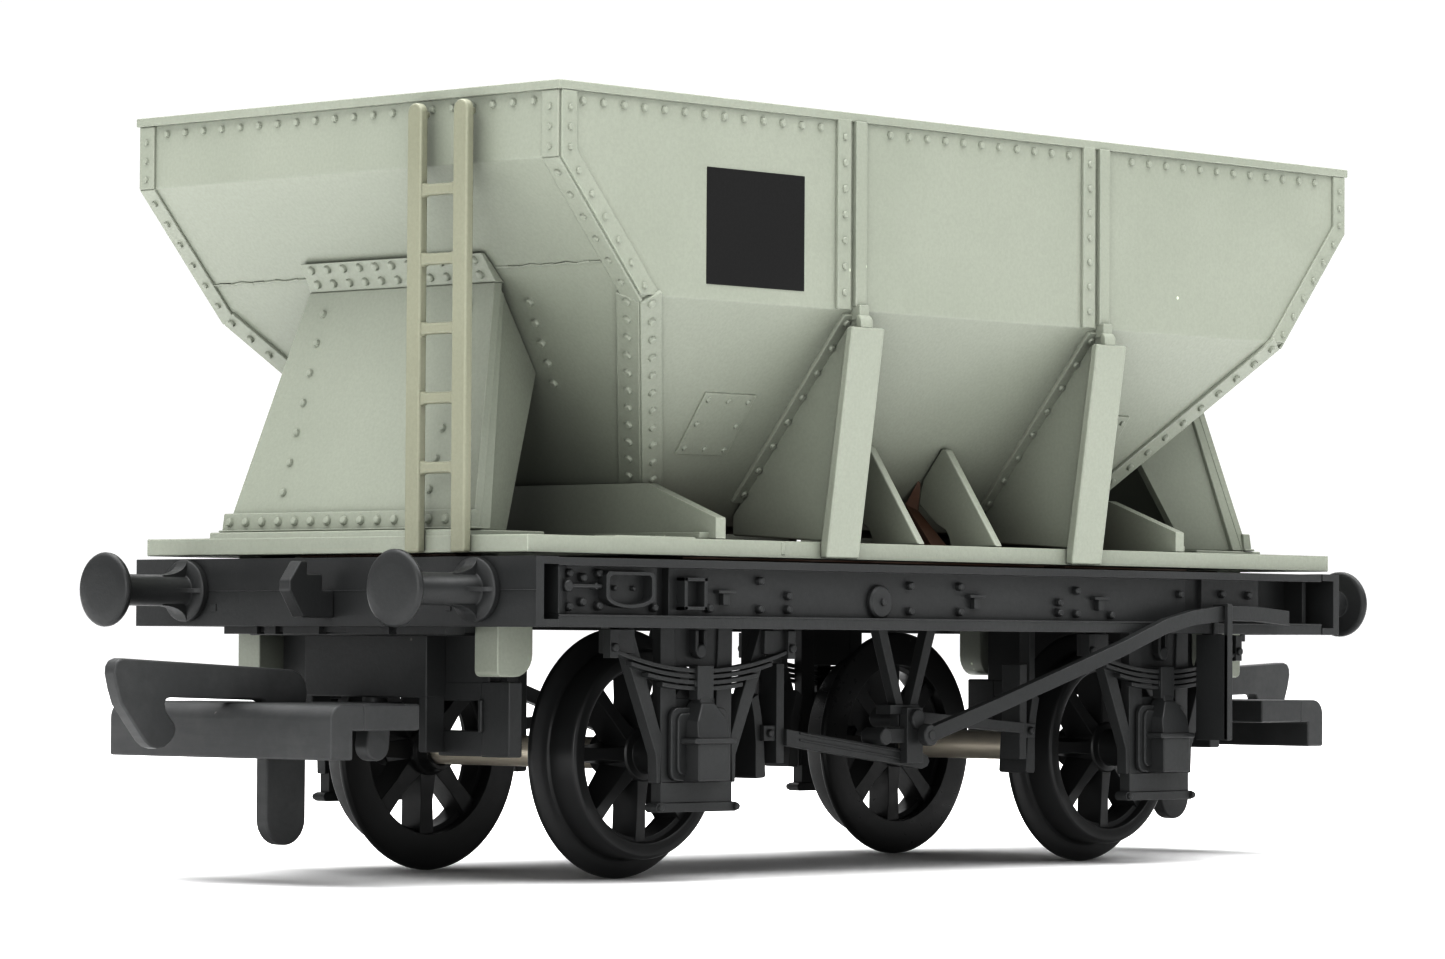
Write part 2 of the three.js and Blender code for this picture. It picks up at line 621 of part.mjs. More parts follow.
function couplingBar() {
  const face = BAR_FACE_X;
  const legT = 1.6;
  const rearX = 36.5;
  const chamfer = 0.8;
  const section = prismY([
    [rearX, BAR_PLATE_Z],
    [face - legT, BAR_PLATE_Z],
    [face - legT, BAR_LOW_Z],
    [face, BAR_LOW_Z],
    [face, BAR_TOP_Z - chamfer],
    [face - 0.25, BAR_TOP_Z - 0.25],
    [face - chamfer, BAR_TOP_Z],
    [rearX, BAR_TOP_Z],
  ], -BAR_Y, BAR_Y);
  const shankY = 1.8;
  const eyeR = 1.6;
  const shank = prismZ([
    [rearX + 0.5, -shankY],
    [rearX + 0.5, shankY],
    [PEG_X + 0.8, shankY],
    ...arc(PEG_X, 0, eyeR, 60, 300, 10),
    [PEG_X + 0.8, -shankY],
  ], BAR_PLATE_Z, BAR_TOP_Z);
  const slot = box([35.4, 40.6], [-0.75, 0.75], [BAR_LOW_Z - 1, BAR_TOP_Z + 1]);
  const eye = rodZ(1, BAR_PLATE_Z - 1, BAR_TOP_Z + 1, PEG_X, 0);
  const pin = rodY(0.4, -1.2, 1.2, HOOK_PIVOT_X, HOOK_PIVOT_Z, 12);
  const lugs = [[-7.6, -6.6], [6.6, 7.6]].map(([y0, y1]) => {
    const round = arc(HOOK_PIVOT_X, 7.55, 0.9, 0, -180, 8);
    const rootZ = BAR_PLATE_Z + 0.2;
    return prismY([[HOOK_PIVOT_X + 0.9, rootZ], ...round, [HOOK_PIVOT_X - 0.9, rootZ]], y0, y1);
  });
  return join(section, shank, ...lugs).subtract(slot).subtract(eye).add(pin);
}

// The lifting hook: an arm over the bar, a barbed nose ahead of it and a dropper that hangs below.
function couplingHook() {
  const dropperR = 1.42;
  const dropperX = HOOK_PIVOT_X + 0.08;
  const dropperLowZ = 2.03;
  const outline = [
    ...arc(dropperX, dropperLowZ + dropperR, dropperR, 180, 360, 8),
    [dropperX + dropperR, 9.8],
    [46.5, 9.96],
    [47, 9.68],
    [46.6, 8.9],
    [46.2, 8.3],
    [46.6, 7.6],
    [47.5, 7.27],
    [48.35, 7.66],
    [50, 9.6],
    [50.5, 11.2],
    [50.25, 11.9],
    [49.9, 12],
    [38.4, 11.46],
    [37.9, 11.42],
    [37.35, 11.2],
    [37, 10.75],
    [36.88, 10.2],
    [dropperX - dropperR, 9.6],
  ];
  const blade = prismY(outline, -HOOK_T / 2, HOOK_T / 2);
  return blade.subtract(rodY(0.7, -HOOK_T, HOOK_T, HOOK_PIVOT_X, HOOK_PIVOT_Z));
}

// ---------------------------------------------------------------- running gear
// A wheel on the -Y side, centred on x = 0.
function wheel() {
  const segments = 32;
  const rim = latheY([
    [RIM_INNER_R, BACK_Y],
    [FLANGE_R - 0.15, BACK_Y],
    [FLANGE_R, BACK_Y + 0.2],
    [FLANGE_R, BACK_Y + 0.45],
    [TREAD_R + 0.05, FLANGE_Y],
    [TREAD_R, WHEEL_FACE_Y],
    [RIM_INNER_R, WHEEL_FACE_Y],
    [RIM_INNER_R, BACK_Y],
  ], segments);
  const hub = latheY([
    [BORE_R, 6.4],
    [1.2, 6.4],
    [1.3, BACK_Y],
    [HUB_R, BACK_Y],
    [HUB_R, WHEEL_FACE_Y - 0.1],
    [1.2, WHEEL_FACE_Y + 0.5],
    [BORE_R, WHEEL_FACE_Y + 0.5],
    [BORE_R, 6.4],
  ], 20);
  const depth = [BACK_Y + 0.25, WHEEL_FACE_Y - 0.5];
  const spoke = box([-SPOKE_W / 2, SPOKE_W / 2], depth, [HUB_R - 0.2, RIM_INNER_R + 0.3]);
  const spokes = Array.from({ length: SPOKES }, (_, i) => spoke.rotate([0, (360 / SPOKES) * i, 0]));
  return join(rim, hub, ...spokes).rotate([0, 0, 180]).translate([0, 0, FLANGE_R]);
}

function axle() {
  const taper = 12.3;
  return latheY([
    [0, -PINPOINT_Y],
    [0.35, -PINPOINT_Y + 0.1],
    [AXLE_R, -taper + 1],
    [AXLE_R, taper - 1],
    [0.35, PINPOINT_Y - 0.1],
    [0, PINPOINT_Y],
  ], 16).translate([0, 0, FLANGE_R]);
}

// ---------------------------------------------------------------- assembly
const group = new THREE.Group();
const ENDS = [
  { end: 'rear', sign: 1, turned: false },
  { end: 'front', sign: -1, turned: true },
];
const SIDES = [
  { side: 'left', sign: -1, turned: false },
  { side: 'right', sign: 1, turned: true },
];

function place(name, solid, finish, { x = 0, y = 0, turned = false } = {}) {
  const mesh = new THREE.Mesh(toGeometry(solid), finish);
  mesh.name = name;
  mesh.position.set(x, y, 0);
  if (turned) mesh.rotation.z = Math.PI;
  group.add(mesh);
}

// A piece made for the +X end, and its twin turned half round for the front.
function placeEnds(name, solid, finish) {
  for (const { end, turned } of ENDS) place(`${name}_${end}`, solid, finish, { turned });
}

// A piece made for the -Y side, and its twin turned half round for the right.
function placeSides(name, solid, finish) {
  for (const { side, turned } of SIDES) place(`${name}_${side}`, solid, finish, { turned });
}

// Four alike, at both ends of both sides, each made for the -Y side and centred on x = 0.
function placeCorners(name, solid, finish, x) {
  for (const { end, sign } of ENDS) {
    for (const { side, turned } of SIDES) {
      place(`${name}_${end}_${side}`, solid, finish, { x: sign * x, turned });
    }
  }
}

place('hopper_tub', hopperTub(), bodyGrey);
place('body_deck', bodyDeck(), bodyGrey);
placeEnds('end_buttress', endButtress(), bodyGrey);
placeEnds('bulkhead', bulkhead(), bodyGrey);
placeEnds('ladder', endLadder(), ladderGrey);
placeCorners('side_post', sidePost(), bodyGrey, POST_X);
placeCorners('centre_gusset', centreGusset(), bodyGrey, GUSSET_X);
place('ballast_weight', ballastWeight(), rustySteel);

place('chassis_floor', chassisFloor(), chassisBlack);
placeSides('solebar', solebar(), chassisBlack);
placeEnds('headstock', headstock(), chassisBlack);
const bufferSolid = buffer();
for (const { end, turned } of ENDS) {
  for (const { side, sign } of SIDES) {
    place(`buffer_${end}_${side}`, bufferSolid, chassisBlack, { y: sign * BUFFER_Y, turned });
  }
}
placeEnds('drawhook', drawhook(), chassisBlack);
placeCorners('axleguard', axleguard(), chassisBlack, WHEEL_X);
placeCorners('axlebox', axlebox(), chassisBlack, WHEEL_X);
placeCorners('leaf_spring', leafSpring(), chassisBlack, WHEEL_X);
placeSides('brake_rigging', brakeRigging(), chassisBlack);
placeSides('brake_lever', brakeLever(), chassisBlack);
for (const { end, sign } of ENDS) {
  for (const { side, turned } of SIDES) {
    place(`brake_shoe_${end}_${side}`, brakeShoe(turned ? -sign : sign), chassisBlack, { turned });
  }
}

placeEnds('coupling_mount', couplingMount(), chassisBlack);
placeEnds('coupling_bar', couplingBar(), chassisBlack);
placeEnds('coupling_hook', couplingHook(), chassisBlack);

placeCorners('wheel', wheel(), wheelBlack, WHEEL_X);
const axleSolid = axle();
for (const { end, sign } of ENDS) place(`axle_${end}`, axleSolid, steel, { x: sign * WHEEL_X });

export default group;
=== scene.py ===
import math

import bmesh
import bpy
from mathutils import Matrix, Vector


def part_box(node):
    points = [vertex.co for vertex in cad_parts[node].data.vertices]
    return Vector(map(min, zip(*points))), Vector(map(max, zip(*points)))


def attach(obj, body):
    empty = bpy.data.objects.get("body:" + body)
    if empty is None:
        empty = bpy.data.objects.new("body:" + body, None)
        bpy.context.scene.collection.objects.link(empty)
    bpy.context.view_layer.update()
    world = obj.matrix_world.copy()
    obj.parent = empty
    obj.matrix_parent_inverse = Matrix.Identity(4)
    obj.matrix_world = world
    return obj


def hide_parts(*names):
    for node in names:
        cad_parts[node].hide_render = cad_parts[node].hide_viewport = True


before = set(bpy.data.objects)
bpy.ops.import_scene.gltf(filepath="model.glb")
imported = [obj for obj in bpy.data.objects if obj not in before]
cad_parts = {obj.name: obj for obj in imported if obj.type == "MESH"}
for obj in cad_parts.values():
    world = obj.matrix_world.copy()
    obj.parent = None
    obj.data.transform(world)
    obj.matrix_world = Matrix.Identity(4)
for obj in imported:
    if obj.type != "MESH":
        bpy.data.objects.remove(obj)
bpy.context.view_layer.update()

# Lengths are millimetres until make() turns them into metres. +X is the rear end, -Y the left side.
MM = 0.001
HALF_TURN = Matrix.Rotation(math.pi, 4, "Z")
STAY = Matrix.Identity(4)
ENDS = (("rear", 1, STAY), ("front", -1, HALF_TURN))  # built at +X
SIDES = (("left", -1, STAY), ("right", 1, HALF_TURN))  # built at -Y


def low(node, axis):
    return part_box(node)[0][axis] / MM


def high(node, axis):
    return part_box(node)[1][axis] / MM


def middle(node, axis):
    return (low(node, axis) + high(node, axis)) / 2


# ---------- solids
class Piece:
    """Closed solids gathered into one mesh, each carried by the matrix "place" as it is added."""

    def __init__(self, place=STAY):
        self.mesh = bmesh.new()
        self.place = place

    def solid(self, points, faces):
        made = [self.mesh.verts.new(self.place @ Vector(p)) for p in points]
        for face in faces:
            self.mesh.faces.new([made[i] for i in face])

    def hull(self, points):
        shell = bmesh.new()
        for p in points:
            shell.verts.new(p)
        result = bmesh.ops.convex_hull(shell, input=shell.verts)
        spare = {v for key in ("geom_interior", "geom_unused") for v in result[key]
                 if isinstance(v, bmesh.types.BMVert)}
        bmesh.ops.delete(shell, geom=list(spare), context="VERTS")
        bmesh.ops.dissolve_limit(shell, angle_limit=0.01, verts=shell.verts, edges=shell.edges)
        shell.verts.index_update()
        self.solid([v.co.copy() for v in shell.verts], [[v.index for v in f.verts] for f in shell.faces])
        shell.free()

    def prism(self, axis, outline, start, end):
        """An outline in the two other axes, in order, raised along one axis."""
        def at(a, b, c):
            return {"X": (c, a, b), "Y": (a, c, b), "Z": (a, b, c)}[axis]
        n = len(outline)
        points = [at(a, b, c) for c in (start, end) for a, b in outline]
        sides = [(i, (i + 1) % n, n + (i + 1) % n, n + i) for i in range(n)]
        self.solid(points, [tuple(range(n)), tuple(range(n, 2 * n))] + sides)

    def box(self, x, y, z):
        self.prism("Z", [(x[0], y[0]), (x[1], y[0]), (x[1], y[1]), (x[0], y[1])], *z)

    def loft(self, rings, closed=False):
        n, count = len(rings[0]), len(rings)
        faces = []
        for k in range(count if closed else count - 1):
            a, b = k * n, ((k + 1) % count) * n
            faces += [(a + i, a + (i + 1) % n, b + (i + 1) % n, b + i) for i in range(n)]
        if not closed:
            faces += [tuple(range(n)), tuple(range((count - 1) * n, count * n))]
        self.solid([p for ring in rings for p in ring], faces)

    def lathe(self, profile, base, axis, segments=24, closed=False):
        """A turned solid. The profile is (radius, distance along the axis); it starts and ends on the axis,
        unless it is closed on itself."""
        axis = Vector(axis).normalized()
        u = axis.orthogonal().normalized()
        v = axis.cross(u)
        base = Vector(base)
        points, rings = [], []
        for r, t in profile:
            spot = base + axis * t
            if r < 1e-6:
                rings.append([len(points)] * segments)
                points.append(spot)
                continue
            rings.append(list(range(len(points), len(points) + segments)))
            turns = (2 * math.pi * i / segments for i in range(segments))
            points += [spot + (u * math.cos(a) + v * math.sin(a)) * r for a in turns]
        faces = []
        for k in range(len(rings) if closed else len(rings) - 1):
            a, b = rings[k], rings[(k + 1) % len(rings)]
            for i in range(segments):
                j = (i + 1) % segments
                corners = list(dict.fromkeys((a[i], a[j], b[j], b[i])))
                if len(corners) > 2:
                    faces.append(corners)
        self.solid(points, faces)

    def rod(self, start, end, radius, segments=20, crown=0.0):
        """A round bar between two points, each end rounded off by "crown"."""
        run = Vector(end) - Vector(start)
        reach, neck = run.length, radius - crown
        if crown:
            profile = [(0, 0), (neck, 0), (radius, crown), (radius, reach - crown), (neck, reach), (0, reach)]
        else:
            profile = [(0, 0), (radius, 0), (radius, reach), (0, reach)]
        self.lathe(profile, start, run, segments)

    def slab(self, corners, normal, thickness, sink=0.05):
        """A flat plate raised from a surface."""
        normal = Vector(normal).normalized()
        corners = [Vector(c) for c in corners]
        self.loft([[c - normal * sink for c in corners], [c + normal * thickness for c in corners]])

    def strip(self, start, end, width, normal, thickness, sink=0.05):
        """A flat strip between two points on a surface."""
        start, end = Vector(start), Vector(end)
        across = Vector(normal).cross(end - start).normalized() * (width / 2)
        self.slab([start - across, end - across, end + across, start + across], normal, thickness, sink)

    def dome(self, spot, normal, radius=0.22, height=0.17, segments=10):
        """A rivet's round head."""
        n = Vector(normal).normalized()
        shoulder = (0.74 * radius, 0.82 * height)
        profile = [(0, -0.1), (radius, -0.1), (radius, 0.3 * height), shoulder, (0, height)]
        self.lathe(profile, spot, n, segments)

    def domes(self, start, end, count, normal, radius=0.22, height=0.17):
        start, end = Vector(start), Vector(end)
        for i in range(count):
            self.dome(start.lerp(end, i / max(1, count - 1)), normal, radius, height)

    def bolt(self, spot, normal, radius=0.3, height=0.4):
        """A bolt's head, with a sloping edge."""
        n = Vector(normal).normalized()
        self.lathe([(0, -0.1), (radius, -0.1), (radius, height * 0.7), (radius * 0.7, height), (0, height)],
                   spot, n, 12)

    def path(self, spots, section):
        """A bar along the spots. The section is the corners (a, b) off each spot, in Y and Z."""
        self.loft([[(x, y + a, z + b) for a, b in section] for x, y, z in spots])


def arc(cx, cy, radius, a0, a1, steps=8):
    """Points on a circle's arc, from one angle to another in degrees."""
    turns = (math.radians(a0 + (a1 - a0) * i / steps) for i in range(steps + 1))
    return [(cx + radius * math.cos(a), cy + radius * math.sin(a)) for a in turns]


def mirrored(outline):
    return [(-a, b) for a, b in outline]


def span(sign, a, b):
    """A range from a to b, or its mirror image."""
    return tuple(sorted((sign * a, sign * b)))


def paired(points):
    return [(s * x, y, z) for s in (-1, 1) for x, y, z in points]


def rounded_box(a0, a1, b0, b1, r, steps=4):
    return (arc(a1 - r, b1 - r, r, 0, 90, steps) + arc(a0 + r, b1 - r, r, 90, 180, steps)
            + arc(a0 + r, b0 + r, r, 180, 270, steps) + arc(a1 - r, b0 + r, r, 270, 360, steps))


def make(piece, name, body, material, bevel=0.1, nodes=(), steps=2, sharp=32):
    """The finished object: metres, rounded edges, its material, its body and the CAD nodes it stands for."""
    mesh = piece.mesh
    bmesh.ops.recalc_face_normals(mesh, faces=mesh.faces)
    for face in mesh.faces:
        face.smooth = True
    limit = math.radians(sharp)
    for edge in mesh.edges:
        edge.smooth = edge.calc_face_angle(0.0) < limit
    bmesh.ops.scale(mesh, vec=(MM, MM, MM), verts=mesh.verts)
    data = bpy.data.meshes.new(name)
    mesh.to_mesh(data)
    mesh.free()
    data.materials.append(material)
    thing = bpy.data.objects.new(name, data)
    bpy.context.scene.collection.objects.link(thing)
    if bevel:
        edge = thing.modifiers.new("rounding", "BEVEL")
        edge.width = bevel * MM
        edge.segments = steps
        edge.limit_method = "ANGLE"
        edge.angle_limit = limit
        edge.harden_normals = True
        edge.use_clamp_overlap = True
    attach(thing, body)
    if nodes:
        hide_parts(*nodes)


def look(piece, node, body, material, bevel, steps=2, sharp=32):
    """The detailed piece that stands for one CAD node."""
    make(piece, f"{node}_look", body, material, bevel, [node], steps, sharp)


# ---------- materials
def mixer(nodes, links, kind, factor, a, b):
    """A Mix node of kind FLOAT or RGBA. Each input is a socket to link or a plain value."""
    mix = nodes.new("ShaderNodeMix")
    mix.data_type = kind
    pair = (2, 3, 0) if kind == "FLOAT" else (6, 7, 2)
    for socket, value in ((0, factor), (pair[0], a), (pair[1], b)):
        if isinstance(value, bpy.types.NodeSocket):
            links.new(value, mix.inputs[socket])
        else:
            mix.inputs[socket].default_value = value
    return mix.outputs[pair[2]]


def noise(nodes, links, where, scale, detail=3.0, rough=0.55):
    made = nodes.new("ShaderNodeTexNoise")
    made.inputs["Scale"].default_value = scale
    made.inputs["Detail"].default_value = detail
    made.inputs["Roughness"].default_value = rough
    links.new(where, made.inputs["Vector"])
    return made.outputs["Fac"]


def between(nodes, links, value, low_end, high_end, start=0.0, end=1.0):
    """A value mapped from one range to another, and held at the ends."""
    made = nodes.new("ShaderNodeMapRange")
    for socket, number in ((1, low_end), (2, high_end), (3, start), (4, end)):
        made.inputs[socket].default_value = number
    links.new(value, made.inputs[0])
    return made.outputs[0]


def finish_of(name, slot, colour, other, roughness, metal=0.0, grain=9000.0, relief=0.02, specks=None,
              speck_level=0.75, streak=None, specular=0.5, dust=0.0, dust_colour=(0.2, 0.19, 0.17)):
    """A procedural finish: slow changes of tone, fine grain in gloss and relief, and a few specks."""
    material = bpy.data.materials.new(name)
    material["slot"] = slot
    material.use_nodes = True
    nodes, links = material.node_tree.nodes, material.node_tree.links
    shader = next(n for n in nodes if n.type == "BSDF_PRINCIPLED")
    where = nodes.new("ShaderNodeTexCoord").outputs["Object"]
    if streak:
        squeeze = nodes.new("ShaderNodeMapping")
        squeeze.inputs["Scale"].default_value = streak
        links.new(where, squeeze.inputs["Vector"])
        fine_where = squeeze.outputs["Vector"]
    else:
        fine_where = where
    broad = noise(nodes, links, where, 90.0)
    fine = noise(nodes, links, fine_where, grain, 4.0, 0.6)
    tone = between(nodes, links, broad, 0.3, 0.7)
    shade = mixer(nodes, links, "RGBA", tone, (*colour, 1), (*other, 1))
    grit = between(nodes, links, fine, 0.35, 0.65, 0.0, 0.10)
    shade = mixer(nodes, links, "RGBA", grit, shade, (*(c * 0.55 for c in colour), 1))
    if specks:
        dots = nodes.new("ShaderNodeTexVoronoi")
        dots.inputs["Scale"].default_value = 700.0
        dots.inputs["Randomness"].default_value = 1.0
        links.new(where, dots.inputs["Vector"])
        size = between(nodes, links, dots.outputs["Distance"], 0.05, 0.09, 1.0, 0.0)
        patchy = noise(nodes, links, where, 260.0, 1.0)
        some = between(nodes, links, patchy, speck_level, speck_level + 0.03)
        both = nodes.new("ShaderNodeMath")
        both.operation = "MULTIPLY"
        links.new(size, both.inputs[0])
        links.new(some, both.inputs[1])
        shade = mixer(nodes, links, "RGBA", both.outputs[0], shade, (*specks, 1))
    if dust:
        film = between(nodes, links, noise(nodes, links, where, 210.0, 6.0, 0.7), 0.45, 0.8, 0.0, dust)
        shade = mixer(nodes, links, "RGBA", film, shade, (*dust_colour, 1))
    links.new(shade, shader.inputs["Base Color"])
    gloss = mixer(nodes, links, "FLOAT", tone, roughness - 0.05, roughness + 0.05)
    worn = between(nodes, links, fine, 0.3, 0.7, -0.05, 0.05)
    total = nodes.new("ShaderNodeMath")
    total.operation = "ADD"
    links.new(gloss, total.inputs[0])
    links.new(worn, total.inputs[1])
    links.new(total.outputs[0], shader.inputs["Roughness"])
    shader.inputs["Metallic"].default_value = metal
    shader.inputs["Specular IOR Level"].default_value = specular
    bump = nodes.new("ShaderNodeBump")
    bump.inputs["Strength"].default_value = 0.35
    bump.inputs["Distance"].default_value = relief * MM
    links.new(fine, bump.inputs["Height"])
    links.new(bump.outputs["Normal"], shader.inputs["Normal"])
    return material


body_grey = finish_of("body_grey", "body_plastic", (0.266, 0.2815, 0.244), (0.282, 0.2965, 0.259), 0.42,
                      grain=5200.0, relief=0.02, specks=(0.62, 0.66, 0.55), speck_level=0.70)
ladder_grey = finish_of("ladder_grey", "ladder_plastic", (0.234, 0.238, 0.188), (0.250, 0.254, 0.204), 0.42,
                        grain=5200.0, relief=0.02, specks=(0.6, 0.6, 0.5), speck_level=0.72)
chassis_black = finish_of("chassis_black", "chassis_plastic", (0.036, 0.0374, 0.0378),
                          (0.043, 0.0446, 0.0450), 0.42, grain=4200.0, relief=0.03,
                          specks=(0.16, 0.15, 0.14), speck_level=0.66,
                          dust=0.15, dust_colour=(0.08, 0.08, 0.08))
coupling_black = finish_of("coupling_black", "chassis_plastic", (0.050, 0.0515, 0.0522),
                           (0.064, 0.0655, 0.0663), 0.46, grain=2600.0, relief=0.03,
                           specks=(0.3, 0.29, 0.27), speck_level=0.62, streak=(1.0, 0.12, 1.0),
                           dust=0.4, dust_colour=(0.12, 0.12, 0.12))
wheel_black = finish_of("wheel_black", "wheel_plastic", (0.022, 0.0226, 0.0230),
                        (0.028, 0.0287, 0.0292), 0.34, grain=2200.0, relief=0.006,
                        specks=(0.12, 0.12, 0.11), speck_level=0.68)
panel_black = finish_of("panel_black", "chassis_plastic", (0.006, 0.006, 0.006),
                        (0.008, 0.008, 0.008), 0.55, grain=6000.0, relief=0.01)
axle_steel = finish_of("axle_steel", "axle_steel", (0.80, 0.75, 0.65), (0.70, 0.65, 0.56), 0.38, metal=0.45,
                       grain=2500.0, relief=0.02, streak=(1.0, 0.15, 1.0))
weight_rust = finish_of("weight_rust", "weight_steel", (0.085, 0.035, 0.014), (0.20, 0.17, 0.15), 0.6,
                        metal=0.35, grain=1800.0, relief=0.05, dust=0.6, dust_colour=(0.14, 0.055, 0.02))

# ---------- hopper
TUB_X, TUB_Y = 34.24, 16.62  # half length and half width of the upright plates
RIM_Z = high("hopper_tub", 2)
RIM_LOW_Z = RIM_Z - 0.45
END_CREASE_Z, END_SLOPE = 38.39, 1.1433  # where the ends start to slope, and their rise over run
SIDE_CREASE_Z, SIDE_SLOPE = 31.45, 1.223
CHUTE_X, CHUTE_LOW_Z, CHUTE_FLOOR_Z = 19.6, 19.6, 20.6
NECK_Z = END_CREASE_Z - (TUB_X - CHUTE_X) * END_SLOPE  # where the end slopes meet the chute
WALL, SLOPE_WALL = 0.9, 1.2
DECK_LOW, DECK_TOP, PLINTH_TOP = 17.68, 18.63, 18.95
POST_X = 10.7
CORNER_TOP_Z = 41.9
RIM_RIVET_Z = 41.4
SEAM_Z, SEAM_STEPS = 33.2, 9
STRIP_T, HIP_T, RIB_T, PATCH_T = 0.16, 0.2, 0.22, 0.12  # how far the strips and plates stand proud
END_OUT = Vector((-END_SLOPE, 0, -1)).normalized()  # out of the front end slope
SIDE_OUT = Vector((0, -SIDE_SLOPE, -1)).normalized()  # out of the left side slope
BACK, OUT = Vector((-1, 0, 0)), Vector((0, -1, 0))  # out of the upright front end and left side


def end_x(z):
    return TUB_X - max(0.0, END_CREASE_Z - z) / END_SLOPE


def side_y(z):
    return TUB_Y - max(0.0, SIDE_CREASE_Z - z) / SIDE_SLOPE


def square_ring(x, y, z):
    return [(x, y, z), (-x, y, z), (-x, -y, z), (x, -y, z)]


def tub_ring(z, inset=0.0, slope_inset=0.0):
    """The tub's outline at a height, moved in by "inset" where upright and "slope_inset" on the slopes."""
    x = min(TUB_X - inset, max(CHUTE_X - inset, TUB_X - (END_CREASE_Z - z) / END_SLOPE - slope_inset))
    y = min(TUB_Y - inset, TUB_Y - (SIDE_CREASE_Z - z) / SIDE_SLOPE - slope_inset)
    return square_ring(x, y, z)


def front(y, z):
    """A point on the front end plate."""
    return Vector((-end_x(z), y, z))


def left(x, z):
    """A point on the left side plate."""
    return Vector((x, -side_y(z), z))


rivets = Piece()  # all the body's rivets, made at the end of the body


def rivet_run(a, b, start, end, count, normal, lift, radius, height):
    """Rivets along part of the line from a to b, on a strip that stands proud by "lift"."""
    proud = normal * lift
    rivets.domes(a.lerp(b, start) + proud, a.lerp(b, end) + proud, count, normal, radius, height)


tub = Piece()
lift_end, lift_side = (SLOPE_WALL - WALL) * END_SLOPE, (SLOPE_WALL - WALL) * SIDE_SLOPE
outer = [tub_ring(z) for z in (CHUTE_LOW_Z, NECK_Z, SIDE_CREASE_Z, END_CREASE_Z, RIM_LOW_Z)]
inner = [tub_ring(z, WALL, SLOPE_WALL) for z in
         (RIM_LOW_Z, END_CREASE_Z + lift_end, SIDE_CREASE_Z + lift_side, NECK_Z + lift_end, CHUTE_FLOOR_Z)]
tub.loft(outer + inner)
rim = [(34.5, 16.8, RIM_Z - 0.5), (34.5, 16.8, RIM_Z), (33.3, 15.68, RIM_Z), (33.3, 15.68, RIM_Z - 0.5)]
tub.loft([square_ring(*r) for r in rim], closed=True)

